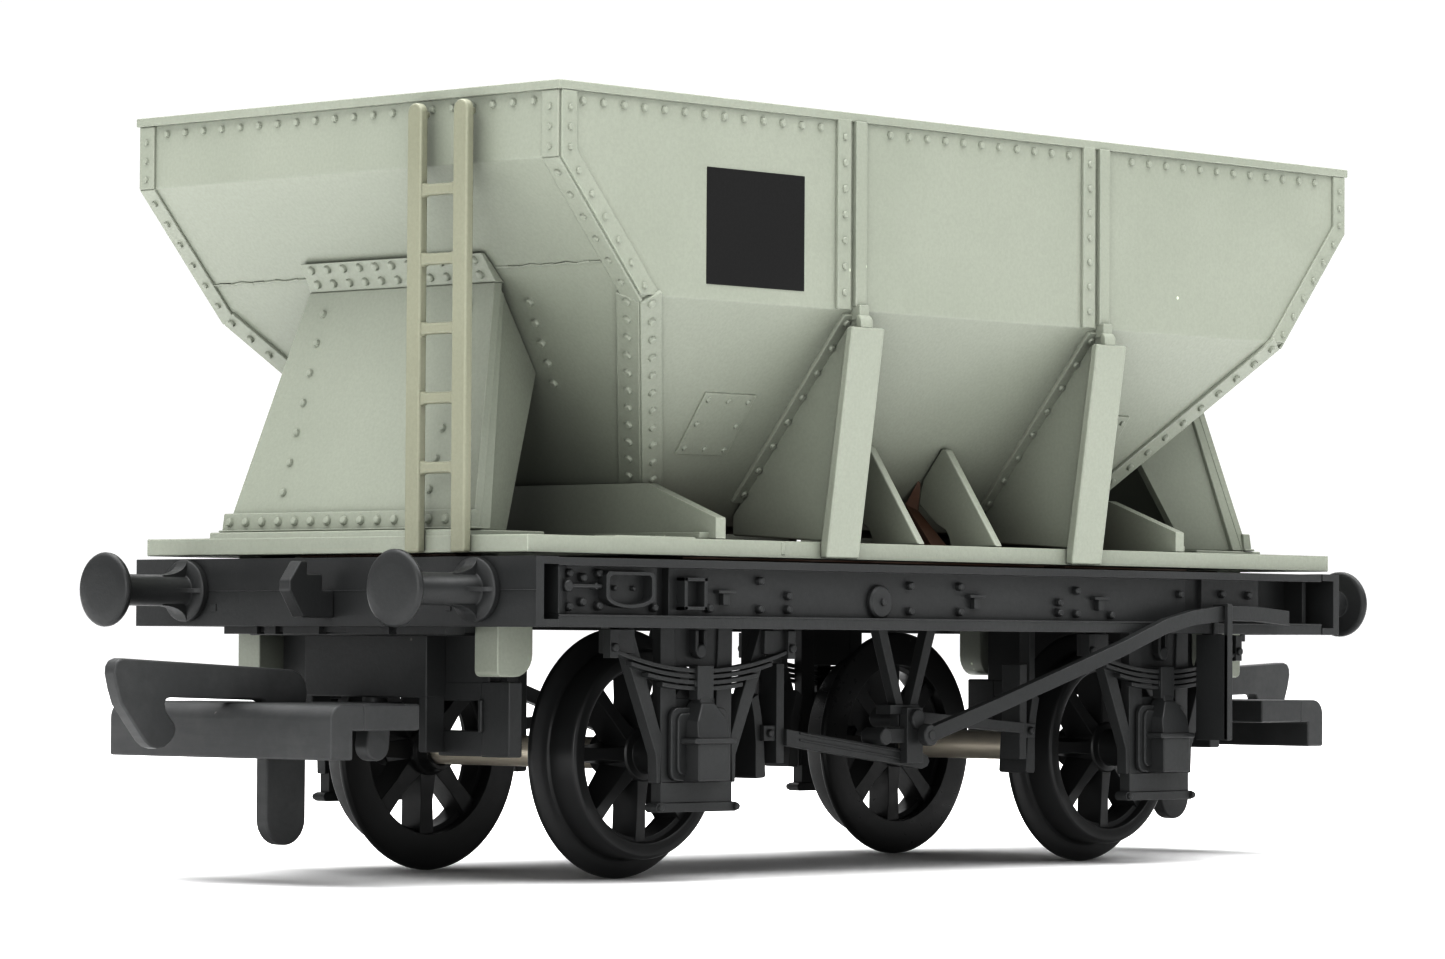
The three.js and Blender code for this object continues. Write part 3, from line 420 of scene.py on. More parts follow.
for turn in (STAY, HALF_TURN):
    tub.place = rivets.place = turn
    for mirror in (1, -1):
        # end corners: an upright strip, then one down the slope
        edge_y = mirror * (TUB_Y - 0.62)
        above, below = (-TUB_X, edge_y, END_CREASE_Z - 0.03), front(edge_y, END_CREASE_Z + 0.03)
        tub.strip((-TUB_X, edge_y, CORNER_TOP_Z), above, 1.24, BACK, STRIP_T)
        tub.strip(below, front(edge_y, SIDE_CREASE_Z - 0.3), 1.24, END_OUT, STRIP_T)
        rivet_run(front(edge_y, 41.0), front(edge_y, 38.9), 0, 1, 3, BACK, STRIP_T, 0.18, 0.14)
        rivet_run(front(edge_y, 37.7), front(edge_y, 32.2), 0, 1, 6, END_OUT, STRIP_T, 0.19, 0.15)
        # strip on the end plate along the edge where it meets the side slope
        top = Vector((-end_x(SIDE_CREASE_Z), mirror * (TUB_Y - 0.78), SIDE_CREASE_Z))
        foot = Vector((-end_x(NECK_Z), mirror * (side_y(NECK_Z) - 0.78), NECK_Z))
        tub.strip(top, foot, 1.45, END_OUT, HIP_T)
        rivet_run(top, foot, 0.02, 0.93, 11, END_OUT, HIP_T, 0.24, 0.19)
        # side corners: one plate, bent where the end starts to slope
        foot_x = end_x(SIDE_CREASE_Z)
        inner_x = TUB_X - 1.15
        mitre = [(TUB_X, CORNER_TOP_Z), (TUB_X, END_CREASE_Z), (foot_x, SIDE_CREASE_Z),
                 (foot_x - 1.5, SIDE_CREASE_Z), (inner_x, END_CREASE_Z + 0.43), (inner_x, CORNER_TOP_Z)]
        tub.slab([(-mirror * x, -TUB_Y, z) for x, z in mitre], OUT, STRIP_T)
        side_x = -mirror * (TUB_X - 0.6)
        rivet_run(left(side_x, 41.0), left(side_x, 38.9), 0, 1, 3, OUT, STRIP_T, 0.18, 0.14)
        slope_top = Vector((-mirror * (TUB_X - 0.62), -TUB_Y, END_CREASE_Z))
        slope_foot = Vector((-mirror * (foot_x - 0.62), -TUB_Y, SIDE_CREASE_Z))
        rivet_run(slope_top, slope_foot, 0.1, 0.93, 6, OUT, STRIP_T, 0.19, 0.15)
        # strip on the side plate along the same edge
        top = Vector((-mirror * (foot_x - 0.75), -TUB_Y, SIDE_CREASE_Z))
        foot = Vector((-mirror * (CHUTE_X - 0.75), -side_y(NECK_Z), NECK_Z))
        tub.strip(top, foot, 1.4, SIDE_OUT, HIP_T)
        rivet_run(top, foot, 0.03, 0.95, 11, SIDE_OUT, HIP_T, 0.24, 0.19)
    # rivets under the rim
    rivet_run(front(-14.7, RIM_RIVET_Z), front(14.4, RIM_RIVET_Z), 0, 1, 20, BACK, 0, 0.21, 0.2)
    for x0, x1, count in ((-32.6, -13.9, 13), (-8.1, 7.6, 11), (13.4, 31.3, 12)):
        rivet_run(left(x0, RIM_RIVET_Z), left(x1, RIM_RIVET_Z), 0, 1, count, OUT, 0, 0.22, 0.2)
    # upright ribs, each with a riveted strip on its left, and the angle that runs on down the slope
    for x in (-POST_X, POST_X):
        tub.box((x - 0.5, x + 0.43), (-TUB_Y - 0.3, -TUB_Y + 0.3), (SIDE_CREASE_Z + 0.2, RIM_LOW_Z))
        tub.box((x - 0.45, x + 0.35), (-TUB_Y - 0.55, -TUB_Y + 0.3), (30.9, 31.75))
        a, b = left(x - 1.35, RIM_Z - 0.4), left(x - 1.35, SIDE_CREASE_Z)
        tub.strip(a, b, 1.1, OUT, 0.2)
        rivet_run(left(x - 1.35, 41.0), left(x - 1.35, 32.4), 0, 1, 7, OUT, 0.2, 0.2, 0.15)
        a, b = left(x - 0.62, 31.3), left(x - 0.62, 21.0)
        tub.strip(a, b, 1.0, SIDE_OUT, RIB_T)
        rivet_run(a, b, 0.04, 0.95, 8, SIDE_OUT, RIB_T, 0.22, 0.17)
    # patch plates on the side slope
    for outline in (((-18.95, 26.75), (-14.85, 26.75), (-14.45, 23.45), (-18.55, 23.45)),
                    ((13.6, 26.75), (18.1, 26.75), (18.6, 23.45), (14.1, 23.45))):
        corners = [left(x, z) for x, z in outline]
        tub.slab(corners, SIDE_OUT, PATCH_T)
        centre = sum(corners, Vector()) / 4
        a, b, c, d = (centre.lerp(p, 0.78) for p in corners)
        for spot in (a, a.lerp(b, 0.5), b, d, d.lerp(c, 0.5), c, a.lerp(d, 0.5), b.lerp(c, 0.5)):
            rivets.dome(spot + SIDE_OUT * PATCH_T, SIDE_OUT, 0.18, 0.14)
    # seam across the end slope where two plates meet
    for y0, y1 in ((-15.3, -7.4), (7.4, 15.9)):
        step = (y1 - y0) / SEAM_STEPS
        for i in range(SEAM_STEPS):
            y, wave = y0 + step * i, 0.05 * math.sin(i * 2.3)
            tub.strip(front(y, SEAM_Z + wave), front(y + step + 0.05, SEAM_Z - wave), 0.16, END_OUT, 0.09)
look(tub, "hopper_tub", "wagon", body_grey, 0.12)

# rivets on the end slope beside each buttress
for turn in (STAY, HALF_TURN):
    rivets.place = turn
    for mirror in (1, -1):
        rivet_run(front(mirror * 8.35, 31.4), front(mirror * 6.6, 27.2), 0, 1, 5, END_OUT, 0.05, 0.25, 0.2)

# ---------- body deck
deck = Piece()
hole = [(19.55, 13.2), (-19.55, 13.2), (-19.55, -13.2), (19.55, -13.2)]
plate = [(34.9, 15.1), (-34.9, 15.1), (-34.9, -15.1), (34.9, -15.1)]
deck.loft([[(x, y, z) for x, y in ring] for ring, z in
           ((plate, DECK_LOW), (plate, DECK_TOP), (hole, DECK_TOP), (hole, DECK_LOW))], closed=True)
for turn in (STAY, HALF_TURN):
    deck.place = turn
    deck.box((28.4, 34.86), (-9.9, 9.9), (DECK_TOP - 0.3, PLINTH_TOP))
    # raised strip along the side between the bulkheads and the ladders, with the moulding's joint
    deck.box((-28.3, -22.0), (-15.06, -13.4), (DECK_TOP - 0.1, DECK_TOP + 0.08))
    deck.box((-15.25, -14.95), (-15.16, -14.9), (DECK_LOW + 0.15, DECK_TOP - 0.05))
    clip = [(32.3, 18.0), (29.65, 18.0)]
    clip += arc(30.9, 12.35, 1.25, 180, 270, 6) + arc(31.95, 11.45, 0.35, 270, 360, 3)
    for s in (-1, 1):
        deck.prism("Y", clip, *span(s, 8.5, 10.3))
look(deck, "body_deck", "wagon", body_grey, 0.12)

# ---------- end buttresses, built at +X
for end, _, turn in ENDS:
    node = f"end_buttress_{end}"
    wedge = Piece(turn)
    rivets.place = turn
    z0, shoulder, top = PLINTH_TOP + 0.02, 32.4, 33.95
    foot_x, foot_y, top_y = 33.7, 9.8, 7.35

    def slope_at(z):
        return end_x(z) + 0.12

    def both(points):
        return [(x, s * y, z) for x, y, z in points for s in (1, -1)]

    head_x = slope_at(shoulder)
    wedge.hull(both([(foot_x, foot_y, z0), (foot_x - 0.6, foot_y, z0), (head_x + 0.7, top_y, shoulder),
                     (head_x + 0.1, top_y, shoulder)]))
    crest_x, crest_y = slope_at(top), top_y - 0.15
    wedge.hull(both([(head_x - 0.05, top_y, shoulder), (head_x + 0.62, top_y, shoulder),
                     (crest_x - 0.05, crest_y, top), (crest_x + 0.25, crest_y, top)]))
    for s in (1, -1):
        # return flange down each side of the front plate, then the wing set in behind it
        wedge.hull([(x, s * (y - d), z) for x, y, z in
                    ((foot_x - 0.02, foot_y, z0), (foot_x - 1.4, foot_y - 0.1, z0),
                     (head_x + 0.68, top_y, shoulder), (head_x - 0.1, top_y - 0.05, shoulder - 0.6))
                    for d in (0, 0.6)])
        outline = [(foot_x - 1.2, foot_y - 0.28, z0), (29.55, 8.1, z0), (slope_at(27.75), 5.8, 27.75),
                   (head_x, top_y - 0.2, shoulder - 0.3)]
        wedge.hull([(x, s * (y - d), z) for x, y, z in outline for d in (0, 0.5)])
    # riveted angle along the foot, and the thin edge under it
    wedge.hull(both([(foot_x + 0.25, foot_y + 0.1, z0), (foot_x + 0.17, foot_y, z0 + 1.05),
                     (foot_x - 0.5, foot_y + 0.1, z0), (foot_x - 0.5, foot_y, z0 + 1.05)]))
    wedge.hull(both([(foot_x + 0.42, foot_y + 0.2, z0), (foot_x + 0.42, foot_y + 0.2, z0 + 0.12),
                     (foot_x - 0.5, foot_y + 0.2, z0), (foot_x - 0.5, foot_y + 0.2, z0 + 0.12)]))
    look(wedge, node, "wagon", body_grey, 0.1)
    lean = Vector((shoulder - z0, 0, foot_x - head_x - 0.7)).normalized()
    for i in range(15):
        rivets.dome((foot_x + 0.2, -9.24 + 18.48 * i / 14, z0 + 0.55), lean, 0.27, 0.22)
    for s in (1, -1):
        for i in range(7):
            z = 31.15 - 1.67 * i
            x = foot_x + (head_x + 0.7 - foot_x) * (z - z0) / (shoulder - z0)
            rivets.dome((x, s * 5.8, z), lean, 0.23, 0.2)
    for z in (33.6, 32.85):
        for i in range(11):
            x = slope_at(z) + 0.25 + 0.37 * (top - z) / (top - shoulder)
            rivets.dome((x, -6.45 + 12.9 * i / 10, z), Vector((0.8, 0, -0.45)), 0.25, 0.2)

# ---------- bulkheads, posts and gussets
for end, _, turn in ENDS:
    node = f"bulkhead_{end}"
    wall = Piece(turn)
    z0 = DECK_TOP + 0.02
    half = [(15.1, z0), (15.1, 19.8), (9.9, 21.75)]
    wall.prism("X", half + mirrored(half)[::-1], 19.7, 20.5)
    wall.box((20.4, 21.25), (-14.6, 14.6), (z0, z0 + 0.35))
    for i in range(24):
        y = -14.2 + 28.4 * i / 23
        wall.box((21.1, 21.3 + 0.12 * math.sin(i * 1.9)), (y - 0.35, y + 0.35), (z0, z0 + 0.22))
    look(wall, node, "wagon", body_grey, 0.12)


def slope_line(z):
    return -side_y(z) - 0.1


for end, sign, _ in ENDS:
    for side, _, turn in SIDES:
        place = Matrix.Translation((sign * POST_X, 0, 0)) @ turn
        node = f"side_post_{end}_{side}"
        post = Piece(place)
        z0 = DECK_TOP + 0.02
        flange = [(-15.62, DECK_LOW + 0.05), (-15.12, DECK_LOW + 0.05), (-15.12, DECK_TOP), (-16.97, 30.5),
                  (-17.45, 30.5)]
        web = [(-15.1, z0), (slope_line(20.2), DECK_TOP + 0.45), (slope_line(20.2), 20.2),
               (slope_line(31.1), 31.1), (-16.95, 31.1), (-17.35, 30.5), (-15.5, z0)]
        cap = [(-16.9, 30.45), (-16.9, 31.2), (-17.2, 31.2), (-17.38, 30.9), (-17.4, 30.45)]
        post.prism("X", flange, -1.37, 1.37)
        post.prism("X", web, -0.35, 0.35)
        post.prism("X", cap, -0.55, 0.45)
        look(post, node, "wagon", body_grey, 0.12)

        node = f"centre_gusset_{end}_{side}"
        gusset = Piece(Matrix.Translation((sign * middle("centre_gusset_rear_left", 0), 0, 0)) @ turn)
        hollow = [(-11.6, z0), (-11.5, 19.1), (-11.25, 19.6), (-10.5, 20.0), (-10.0, 20.4), (-9.5, 20.9)]
        gusset.prism("X", [(-15.1, z0), *hollow, (-9.15, 21.15), (slope_line(22.6), 22.6),
                           (slope_line(24.1), 24.1), (-10.85, 24.32), (-11.25, 24.3)], -0.3, 0.3)
        look(gusset, node, "wagon", body_grey, 0.1)

# ---------- ladders, built at +X
for end, _, turn in ENDS:
    node = f"ladder_{end}"
    ladder = Piece(turn)
    x0, x1 = 34.93, 35.52
    for y in (6.9, 10.4):
        stile = [(y - 0.55, DECK_LOW), (y + 0.55, DECK_LOW)] + arc(y, 41.15, 0.55, 0, 180, 8)
        ladder.prism("X", stile, x0, x1)
        ladder.box((34.52, x0 + 0.1), (y - 0.3, y + 0.3), (40.9, 41.3))
    for i in range(5):
        z = 37 - 3.7 * i
        outline = [(7.3, z - 0.46), (7.75, z - 0.32), (9.55, z - 0.32), (10.0, z - 0.46), (10.0, z + 0.46),
                   (9.55, z + 0.32), (7.75, z + 0.32), (7.3, z + 0.46)]
        ladder.prism("X", outline, x0 + 0.06, x1 - 0.1)
    look(ladder, node, "wagon", ladder_grey, 0.16, steps=3)

# ---------- ballast weight and panels
weight = Piece()
weight.box((-26, 26), (-13.4, 13.4), (15.22, 17.58))
weight.box((-19.2, 19.2), (-11.4, 11.4), (17.3, 18.5))
for i in range(60):  # a rough sawn edge along the sides
    x = -25.5 + 51 * i / 59
    edge_y, edge_z = -13.48 - 0.06 * math.sin(i * 1.7), 17.52 + 0.03 * math.sin(i * 2.9)
    weight.box((x - 0.3, x + 0.3), (edge_y, 13.45), (16.1, edge_z))
for turn in (STAY, HALF_TURN):
    weight.place = turn
    # thin sheets that show between the deck and the chassis
    weight.box((-34.2, -25.9), (-9.0, 3.0), (17.52, 17.64))
    weight.box((9.5, 21.0), (-14.95, -13.3), (17.5, 17.63))
    for i in range(40):
        y = -8.9 + 11.8 * i / 39
        weight.box((-34.3 - 0.05 * math.sin(i * 2.1), -34.0), (y - 0.16, y + 0.16), (17.53, 17.65))
    # rusty lump beside a gusset
    weight.hull([(2.9, -9.3, 22.6), (2.4, -8.75, 21.2), (2.7, -8.9, 20.4), (3.05, -9.2, 20.4),
                 (3.05, -9.4, 22.4)])
    weight.hull([(2.4, -8.75, 21.2), (3.05, -9.2, 20.8), (2.2, -9.0, 18.55), (2.1, -11.2, 18.55),
                 (3.05, -11.6, 18.55), (3.05, -10.4, 19.6), (3.05, -9.4, 20.6)])
look(weight, "ballast_weight", "wagon", weight_rust, 0.12)

panels = Piece()
for turn in (STAY, HALF_TURN):
    panels.place = turn
    panels.box((-23.0, -15.2), (-TUB_Y - 0.03, -TUB_Y + 0.2), (32.3, 38.6))
make(panels, "data_panels", "wagon", panel_black, 0.0)

make(rivets, "body_rivets", "wagon", body_grey, 0.0)

# ---------- chassis
floor = Piece()
floor.box((-27, 27), (-14.25, 14.25), (14.2, 15.2))
floor.box((-34.38, 34.38), (-8.3, 8.3), (14.25, 15.2))
look(floor, "chassis_floor", "wagon", chassis_black, 0.1)

FRAME_LOW, FRAME_TOP = 13.77, 17.45
HEAD_X = 35.0
for end, sign, turn in ENDS:
    node = f"headstock_{end}"
    beam = Piece(turn)
    beam.prism("Y", [(HEAD_X, FRAME_LOW), (HEAD_X, FRAME_TOP + 0.04), (33.3, FRAME_TOP + 0.04),
                     (33.3, FRAME_TOP - 0.38), (34.4, FRAME_TOP - 0.38), (34.4, FRAME_LOW + 0.42),
                     (33.3, FRAME_LOW + 0.42), (33.3, FRAME_LOW)], -15.85, 15.85)
    beam.box((34.5, HEAD_X + 0.035), (-15.85, 15.85), (15.68, 15.73))
    for y in (-9.3, 9.3):
        beam.box((34.9, HEAD_X + 0.06), (y - 0.2, y + 0.2), (14.6, 15.0))
    # notched edge under the beam
    for y0, y1 in ((-8.9, -6.2), (-5.6, -4.7), (-4.1, -1.2), (1.0, 4.3), (4.9, 8.7)):
        beam.box((33.2, 34.6), (y0, y1), (FRAME_LOW - 0.42, FRAME_LOW + 0.1))
    beam.box((32.4, 34.3), (-8.85, 8.65), (FRAME_LOW - 0.3, FRAME_LOW + 0.05))
    look(beam, node, "wagon", chassis_black, 0.1)

    node = f"drawhook_{end}"
    hook = Piece(turn)
    x = HEAD_X + 0.02
    profile = [(0, 14.23), (2.27, 14.23), (3.24, 15.7), (3.24, 16.2), (2.44, 17.28), (1.96, 17.28),
               (1.96, 16.57), (0.85, 16.57), (0.85, 15.7), (0, 15.7)]
    hook.prism("Y", [(x + a, z) for a, z in profile], -0.45, 0.45)
    look(hook, node, "wagon", chassis_black, 0.1)

    shank = [(0, 0), (1.72, 0), (1.72, 0.33), (1.62, 0.43), (0.95, 0.5), (0.88, 0.62), (0.86, 5.55)]
    head = [(1.0, 5.62), (1.75, 5.68), (1.95, 5.76), (2.03, 5.88), (2.04, 6.02), (1.97, 6.14), (1.82, 6.21),
            (1.2, 6.265), (0, 6.28)]
    turns = [math.radians(t) for t in (85, 70, 55, 40, 25, 10, 0)]
    hollow = [(2.15 - 1.7 * math.sin(t), 1.64 - 0.8 * math.cos(t)) for t in turns]
    rib = [(0.4, 1.66), *hollow, (2.15, 0.3), (0.4, 0.3)]
    for side, out, _ in SIDES:
        node = f"buffer_{end}_{side}"
        buffer = Piece(turn)
        base = Vector((HEAD_X + 0.02, out * sign * 11.48, 15.73))
        buffer.lathe(shank + head, base, (1, 0, 0), 40)
        for quarter, half in enumerate((0.42, 0.13, 0.42, 0.13)):
            a = math.radians(90 * quarter)
            up = Vector((0, math.sin(a), math.cos(a)))
            wide = Vector((0, math.cos(a), -math.sin(a)))
            buffer.loft([[base + Vector((p, 0, 0)) + up * q + wide * w for p, q in rib]
                         for w in (-half, half)])
        look(buffer, node, "wagon", chassis_black, 0.05, sharp=40)

# ---------- solebars, built at -Y
WEB_Y = -15.1
for side, _, turn in SIDES:
    node = f"solebar_{side}"
    bar = Piece(turn)
    x1 = 33.28
    web_low, web_top = FRAME_LOW + 0.68, FRAME_TOP - 0.45
    bar.box((-x1, x1), (-15.8, -14.5), (FRAME_LOW, web_low))
    bar.box((-x1, x1), (-15.8, -14.5), (web_top, FRAME_TOP))
    slot = (-25.1, -24.2)
    for a, b in ((-x1, slot[0]), (slot[1], 20.6), (22.2, 27.8)):
        bar.box((a, b), (WEB_Y, -14.5), (web_low - 0.1, web_top + 0.1))
    bar.box((20.5, 22.3), (-14.8, -14.5), (web_low - 0.1, web_top + 0.1))
    bar.box((slot[0] - 0.1, slot[1] + 0.1), (-14.62, -14.5), (web_low - 0.1, web_top + 0.1))
    bar.box((27.4, x1), (-13.2, -12.7), (web_low - 0.1, web_top + 0.1))
    bar.box((27.42, 27.78), (-14.6, -13.0), (web_low - 0.1, web_top + 0.1))
    bar.box((32.88, x1 - 0.02), (-14.6, -13.0), (web_low - 0.1, web_top + 0.1))
    bar.box((29.0, 29.5), (-14.3, -13.0), (web_low - 0.1, 15.3))
    bar.hull([(-x1, y, z) for y in (-15.78, -15.05) for z in (web_low, web_top)]
             + [(-x1 + 1.3, -15.12, z) for z in (web_low, web_top)])
    # label holder with a rounded foot
    out_y = WEB_Y - 0.62
    hx, hz = (-29.6, -25.85), (14.8, 16.75)
    cx, cz = (hx[0] + hx[1]) / 2, (hz[0] + hz[1]) / 2
    ring_out = [(hx[0], hz[1] - 0.2), (hx[0] + 0.2, hz[1]), (hx[1] - 0.2, hz[1]), (hx[1], hz[1] - 0.2)]
    turns = [math.radians(t) for t in range(0, 181, 18)]
    ring_out += [(cx + (hx[1] - cx) * math.cos(t), hz[0] + 0.62 * (1 - math.sin(t))) for t in turns]
    ring_in = [(cx + (a - cx) * 0.86, cz + (b - cz) * 0.8) for a, b in ring_out]
    rings = ((ring_out, WEB_Y + 0.1), (ring_out, out_y), (ring_in, out_y), (ring_in, WEB_Y + 0.1))
    bar.loft([[(a, y, b) for a, b in ring] for ring, y in rings], closed=True)
    for bx in (cx - 0.75, cx + 0.7):
        bar.bolt((bx, WEB_Y, cz + 0.1), (0, -1, 0), 0.14, 0.22)
    # square holder
    for a, b, c, d in ((-23.55, -21.75, 16.3, 16.5), (-23.55, -21.75, 14.75, 14.95),
                       (-23.55, -23.3, 14.75, 16.5), (-22.0, -21.75, 14.75, 16.5)):
        bar.box((a, b), (WEB_Y - 0.6, WEB_Y + 0.1), (c, d))
    # horse hook
    bar.rod((-32.6, WEB_Y - 0.3, 15.95), (-29.7, WEB_Y - 0.3, 15.95), 0.13)
    bar.rod((-32.35, WEB_Y + 0.1, 15.95), (-32.35, WEB_Y - 0.6, 15.95), 0.33, crown=0.08)
    bar.rod((-30.1, WEB_Y + 0.1, 15.95), (-30.1, WEB_Y - 0.4, 15.95), 0.2, crown=0.05)
    # T-shaped brackets, and the round boss
    for tx in (-19.9, 1.1, 12.35):
        bar.box((tx - 0.75, tx + 0.6), (WEB_Y - 0.42, WEB_Y + 0.1), (15.68, 15.85))
        bar.box((tx - 0.3, tx + 0.2), (WEB_Y - 0.32, WEB_Y + 0.1), (15.05, 15.75))
    bar.rod((-7.2, WEB_Y + 0.1, 15.35), (-7.2, WEB_Y - 0.35, 15.35), 0.95, segments=28, crown=0.12)
    bar.rod((-7.15, WEB_Y + 0.1, 15.35), (-7.15, WEB_Y - 0.5, 15.35), 0.2, crown=0.05)
    for bx, bz in ((-32.0, 16.62), (-30.95, 16.4), (-29.75, 16.65), (-32.0, 14.85), (-31.0, 15.1),
                   (-29.75, 14.9), (-25.5, 14.85), (-21.2, 14.85), (-17.1, 16.4), (-17.1, 14.85),
                   (-14.8, 15.6), (-14.8, 14.85), (-4.6, 16.3), (-4.6, 14.85), (-0.3, 16.3), (-0.3, 14.85),
                   (8.6, 15.5), (8.6, 14.9), (10.2, 16.2), (10.2, 14.85), (13.4, 14.8), (19.9, 16.1),
                   (24.0, 16.15), (26.6, 16.1)):
        bar.bolt((bx, WEB_Y, bz), (0, -1, 0), 0.24, 0.36)
    bar.box((-x1, x1), (-15.84, -15.7), (web_low - 0.12, web_low - 0.02))
    look(bar, node, "wagon", chassis_black, 0.07)

# ---------- axleguards, axleboxes and springs, built at -Y
WHEEL_X, AXLE_Z = 20.2, 6.9
for end, sign, _ in ENDS:
    for side, _, turn in SIDES:
        place = Matrix.Translation((sign * WHEEL_X, 0, 0)) @ turn
        guard = Piece(place)
        y0, y1 = -13.45, -12.8
        leg = [(6.35, 14.2), (5.2, 14.2), (2.75, 7.95), (2.85, 5.4), (3.1, 5.4), (3.15, 6.9)]
        upright = [(1.55, 4.4), (2.78, 4.4), (2.85, 14.18), (1.75, 14.18), (1.55, 9.0)]
        for shape in (leg, mirrored(leg)):
            guard.prism("Y", shape, y0 - 0.03, y1 + 0.03)
        for shape in (upright, mirrored(upright)):
            guard.prism("Y", shape, y0, y1)
        guard.box((-2.82, 2.82), (y0 - 0.06, y1 + 0.06), (4.32, 5.46))
        guard.box((-1.9, 1.9), (y0 + 0.15, y1 - 0.02), (11.7, 14.16))
        guard.box((-1.7, 1.7), (y0 + 0.1, y1 + 0.1), (5.3, 6.1))
        guard.box((-1.7, 1.7), (y0 + 0.1, y1 + 0.1), (7.75, 10.0))
        keep = arc(3.0, 4.08, 0.26, -90, 90, 6) + arc(-3.0, 4.08, 0.26, 90, 270, 6)
        guard.prism("Y", keep, y0 - 0.15, y1 + 0.1)
        for x in (-3.0, 3.0):
            guard.bolt((x, y0 - 0.1, 4.08), (0, -1, 0), 0.2, 0.28)
        for x in (-6.1, 6.1):
            guard.box((x - 0.95, x + 0.95), (y0 - 0.3, y1 - 0.04), (12.4, 13.72))
        for s in (-1, 1):
            guard.box(span(s, 0.2, 0.45), (y0 - 0.35, y0 + 0.2), (12.5, 13.7))
        guard.rod((0, y0 + 0.1, 12.55), (0, y0 - 0.42, 12.55), 0.42, crown=0.08)
        look(guard, f"axleguard_{end}_{side}", "wagon", chassis_black, 0.08)

        box = Piece(place)
        back = -13.47
        box.prism("Y", rounded_box(-2.3, 2.2, 5.5, 9.5, 0.55), back - 0.32, back)
        box.prism("Y", rounded_box(-1.95, 1.85, 5.85, 9.2, 0.4), back - 0.5, back)
        box.hull(paired([(1.25, -14.85, 5.5), (1.3, back, 5.45), (1.25, -14.85, 7.7), (1.4, back, 7.7)]))
        box.hull(paired([(1.62, -14.98, 7.52), (1.8, back, 7.52), (1.62, -14.98, 7.84), (1.8, back, 7.84)]))
        box.hull(paired([(1.4, back, 7.8), (1.25, -14.85, 7.8), (1.35, back, 8.9), (1.2, -14.72, 8.75),
                         (0.62, back, 9.85), (0.5, -14.35, 9.75)]))
        box.hull(paired([(0.75, back, 9.3), (0.55, -14.4, 9.3), (0.45, back, 10.1), (0.4, -14.15, 10.1)]))
        look(box, f"axlebox_{end}_{side}", "wagon", chassis_black, 0.1)

        spring = Piece(place)
        leaves = ((11.48, 6.95, 0), (11.16, 5.6, -0.04), (10.84, 4.35, 0.02), (10.52, 3.2, -0.03))
        for z, reach, proud in leaves:
            xs = [reach * i / 7 for i in range(-7, 8)]
            upper = [(x, z + 0.12 + 0.0225 * x * x) for x in xs]
            lower = [(x, z - 0.12 + 0.0225 * x * x) for x in xs]
            spring.prism("Y", upper + lower[::-1], -13.98 - proud, back)
        spring.box((-0.64, 0.64), (-14.14, back), (9.9, 11.78))
        spring.box((-0.72, 0.72), (-14.06, back), (10.6, 10.95))
        for x in (-7.05, 7.05):
            spring.box((x - 0.3, x + 0.3), (-14.05, back), (12.15, 13.7))
            spring.rod((x, -13.6, 12.72), (x, -14.22, 12.72), 0.24, crown=0.05)
        look(spring, f"leaf_spring_{end}_{side}", "wagon", chassis_black, 0.05)

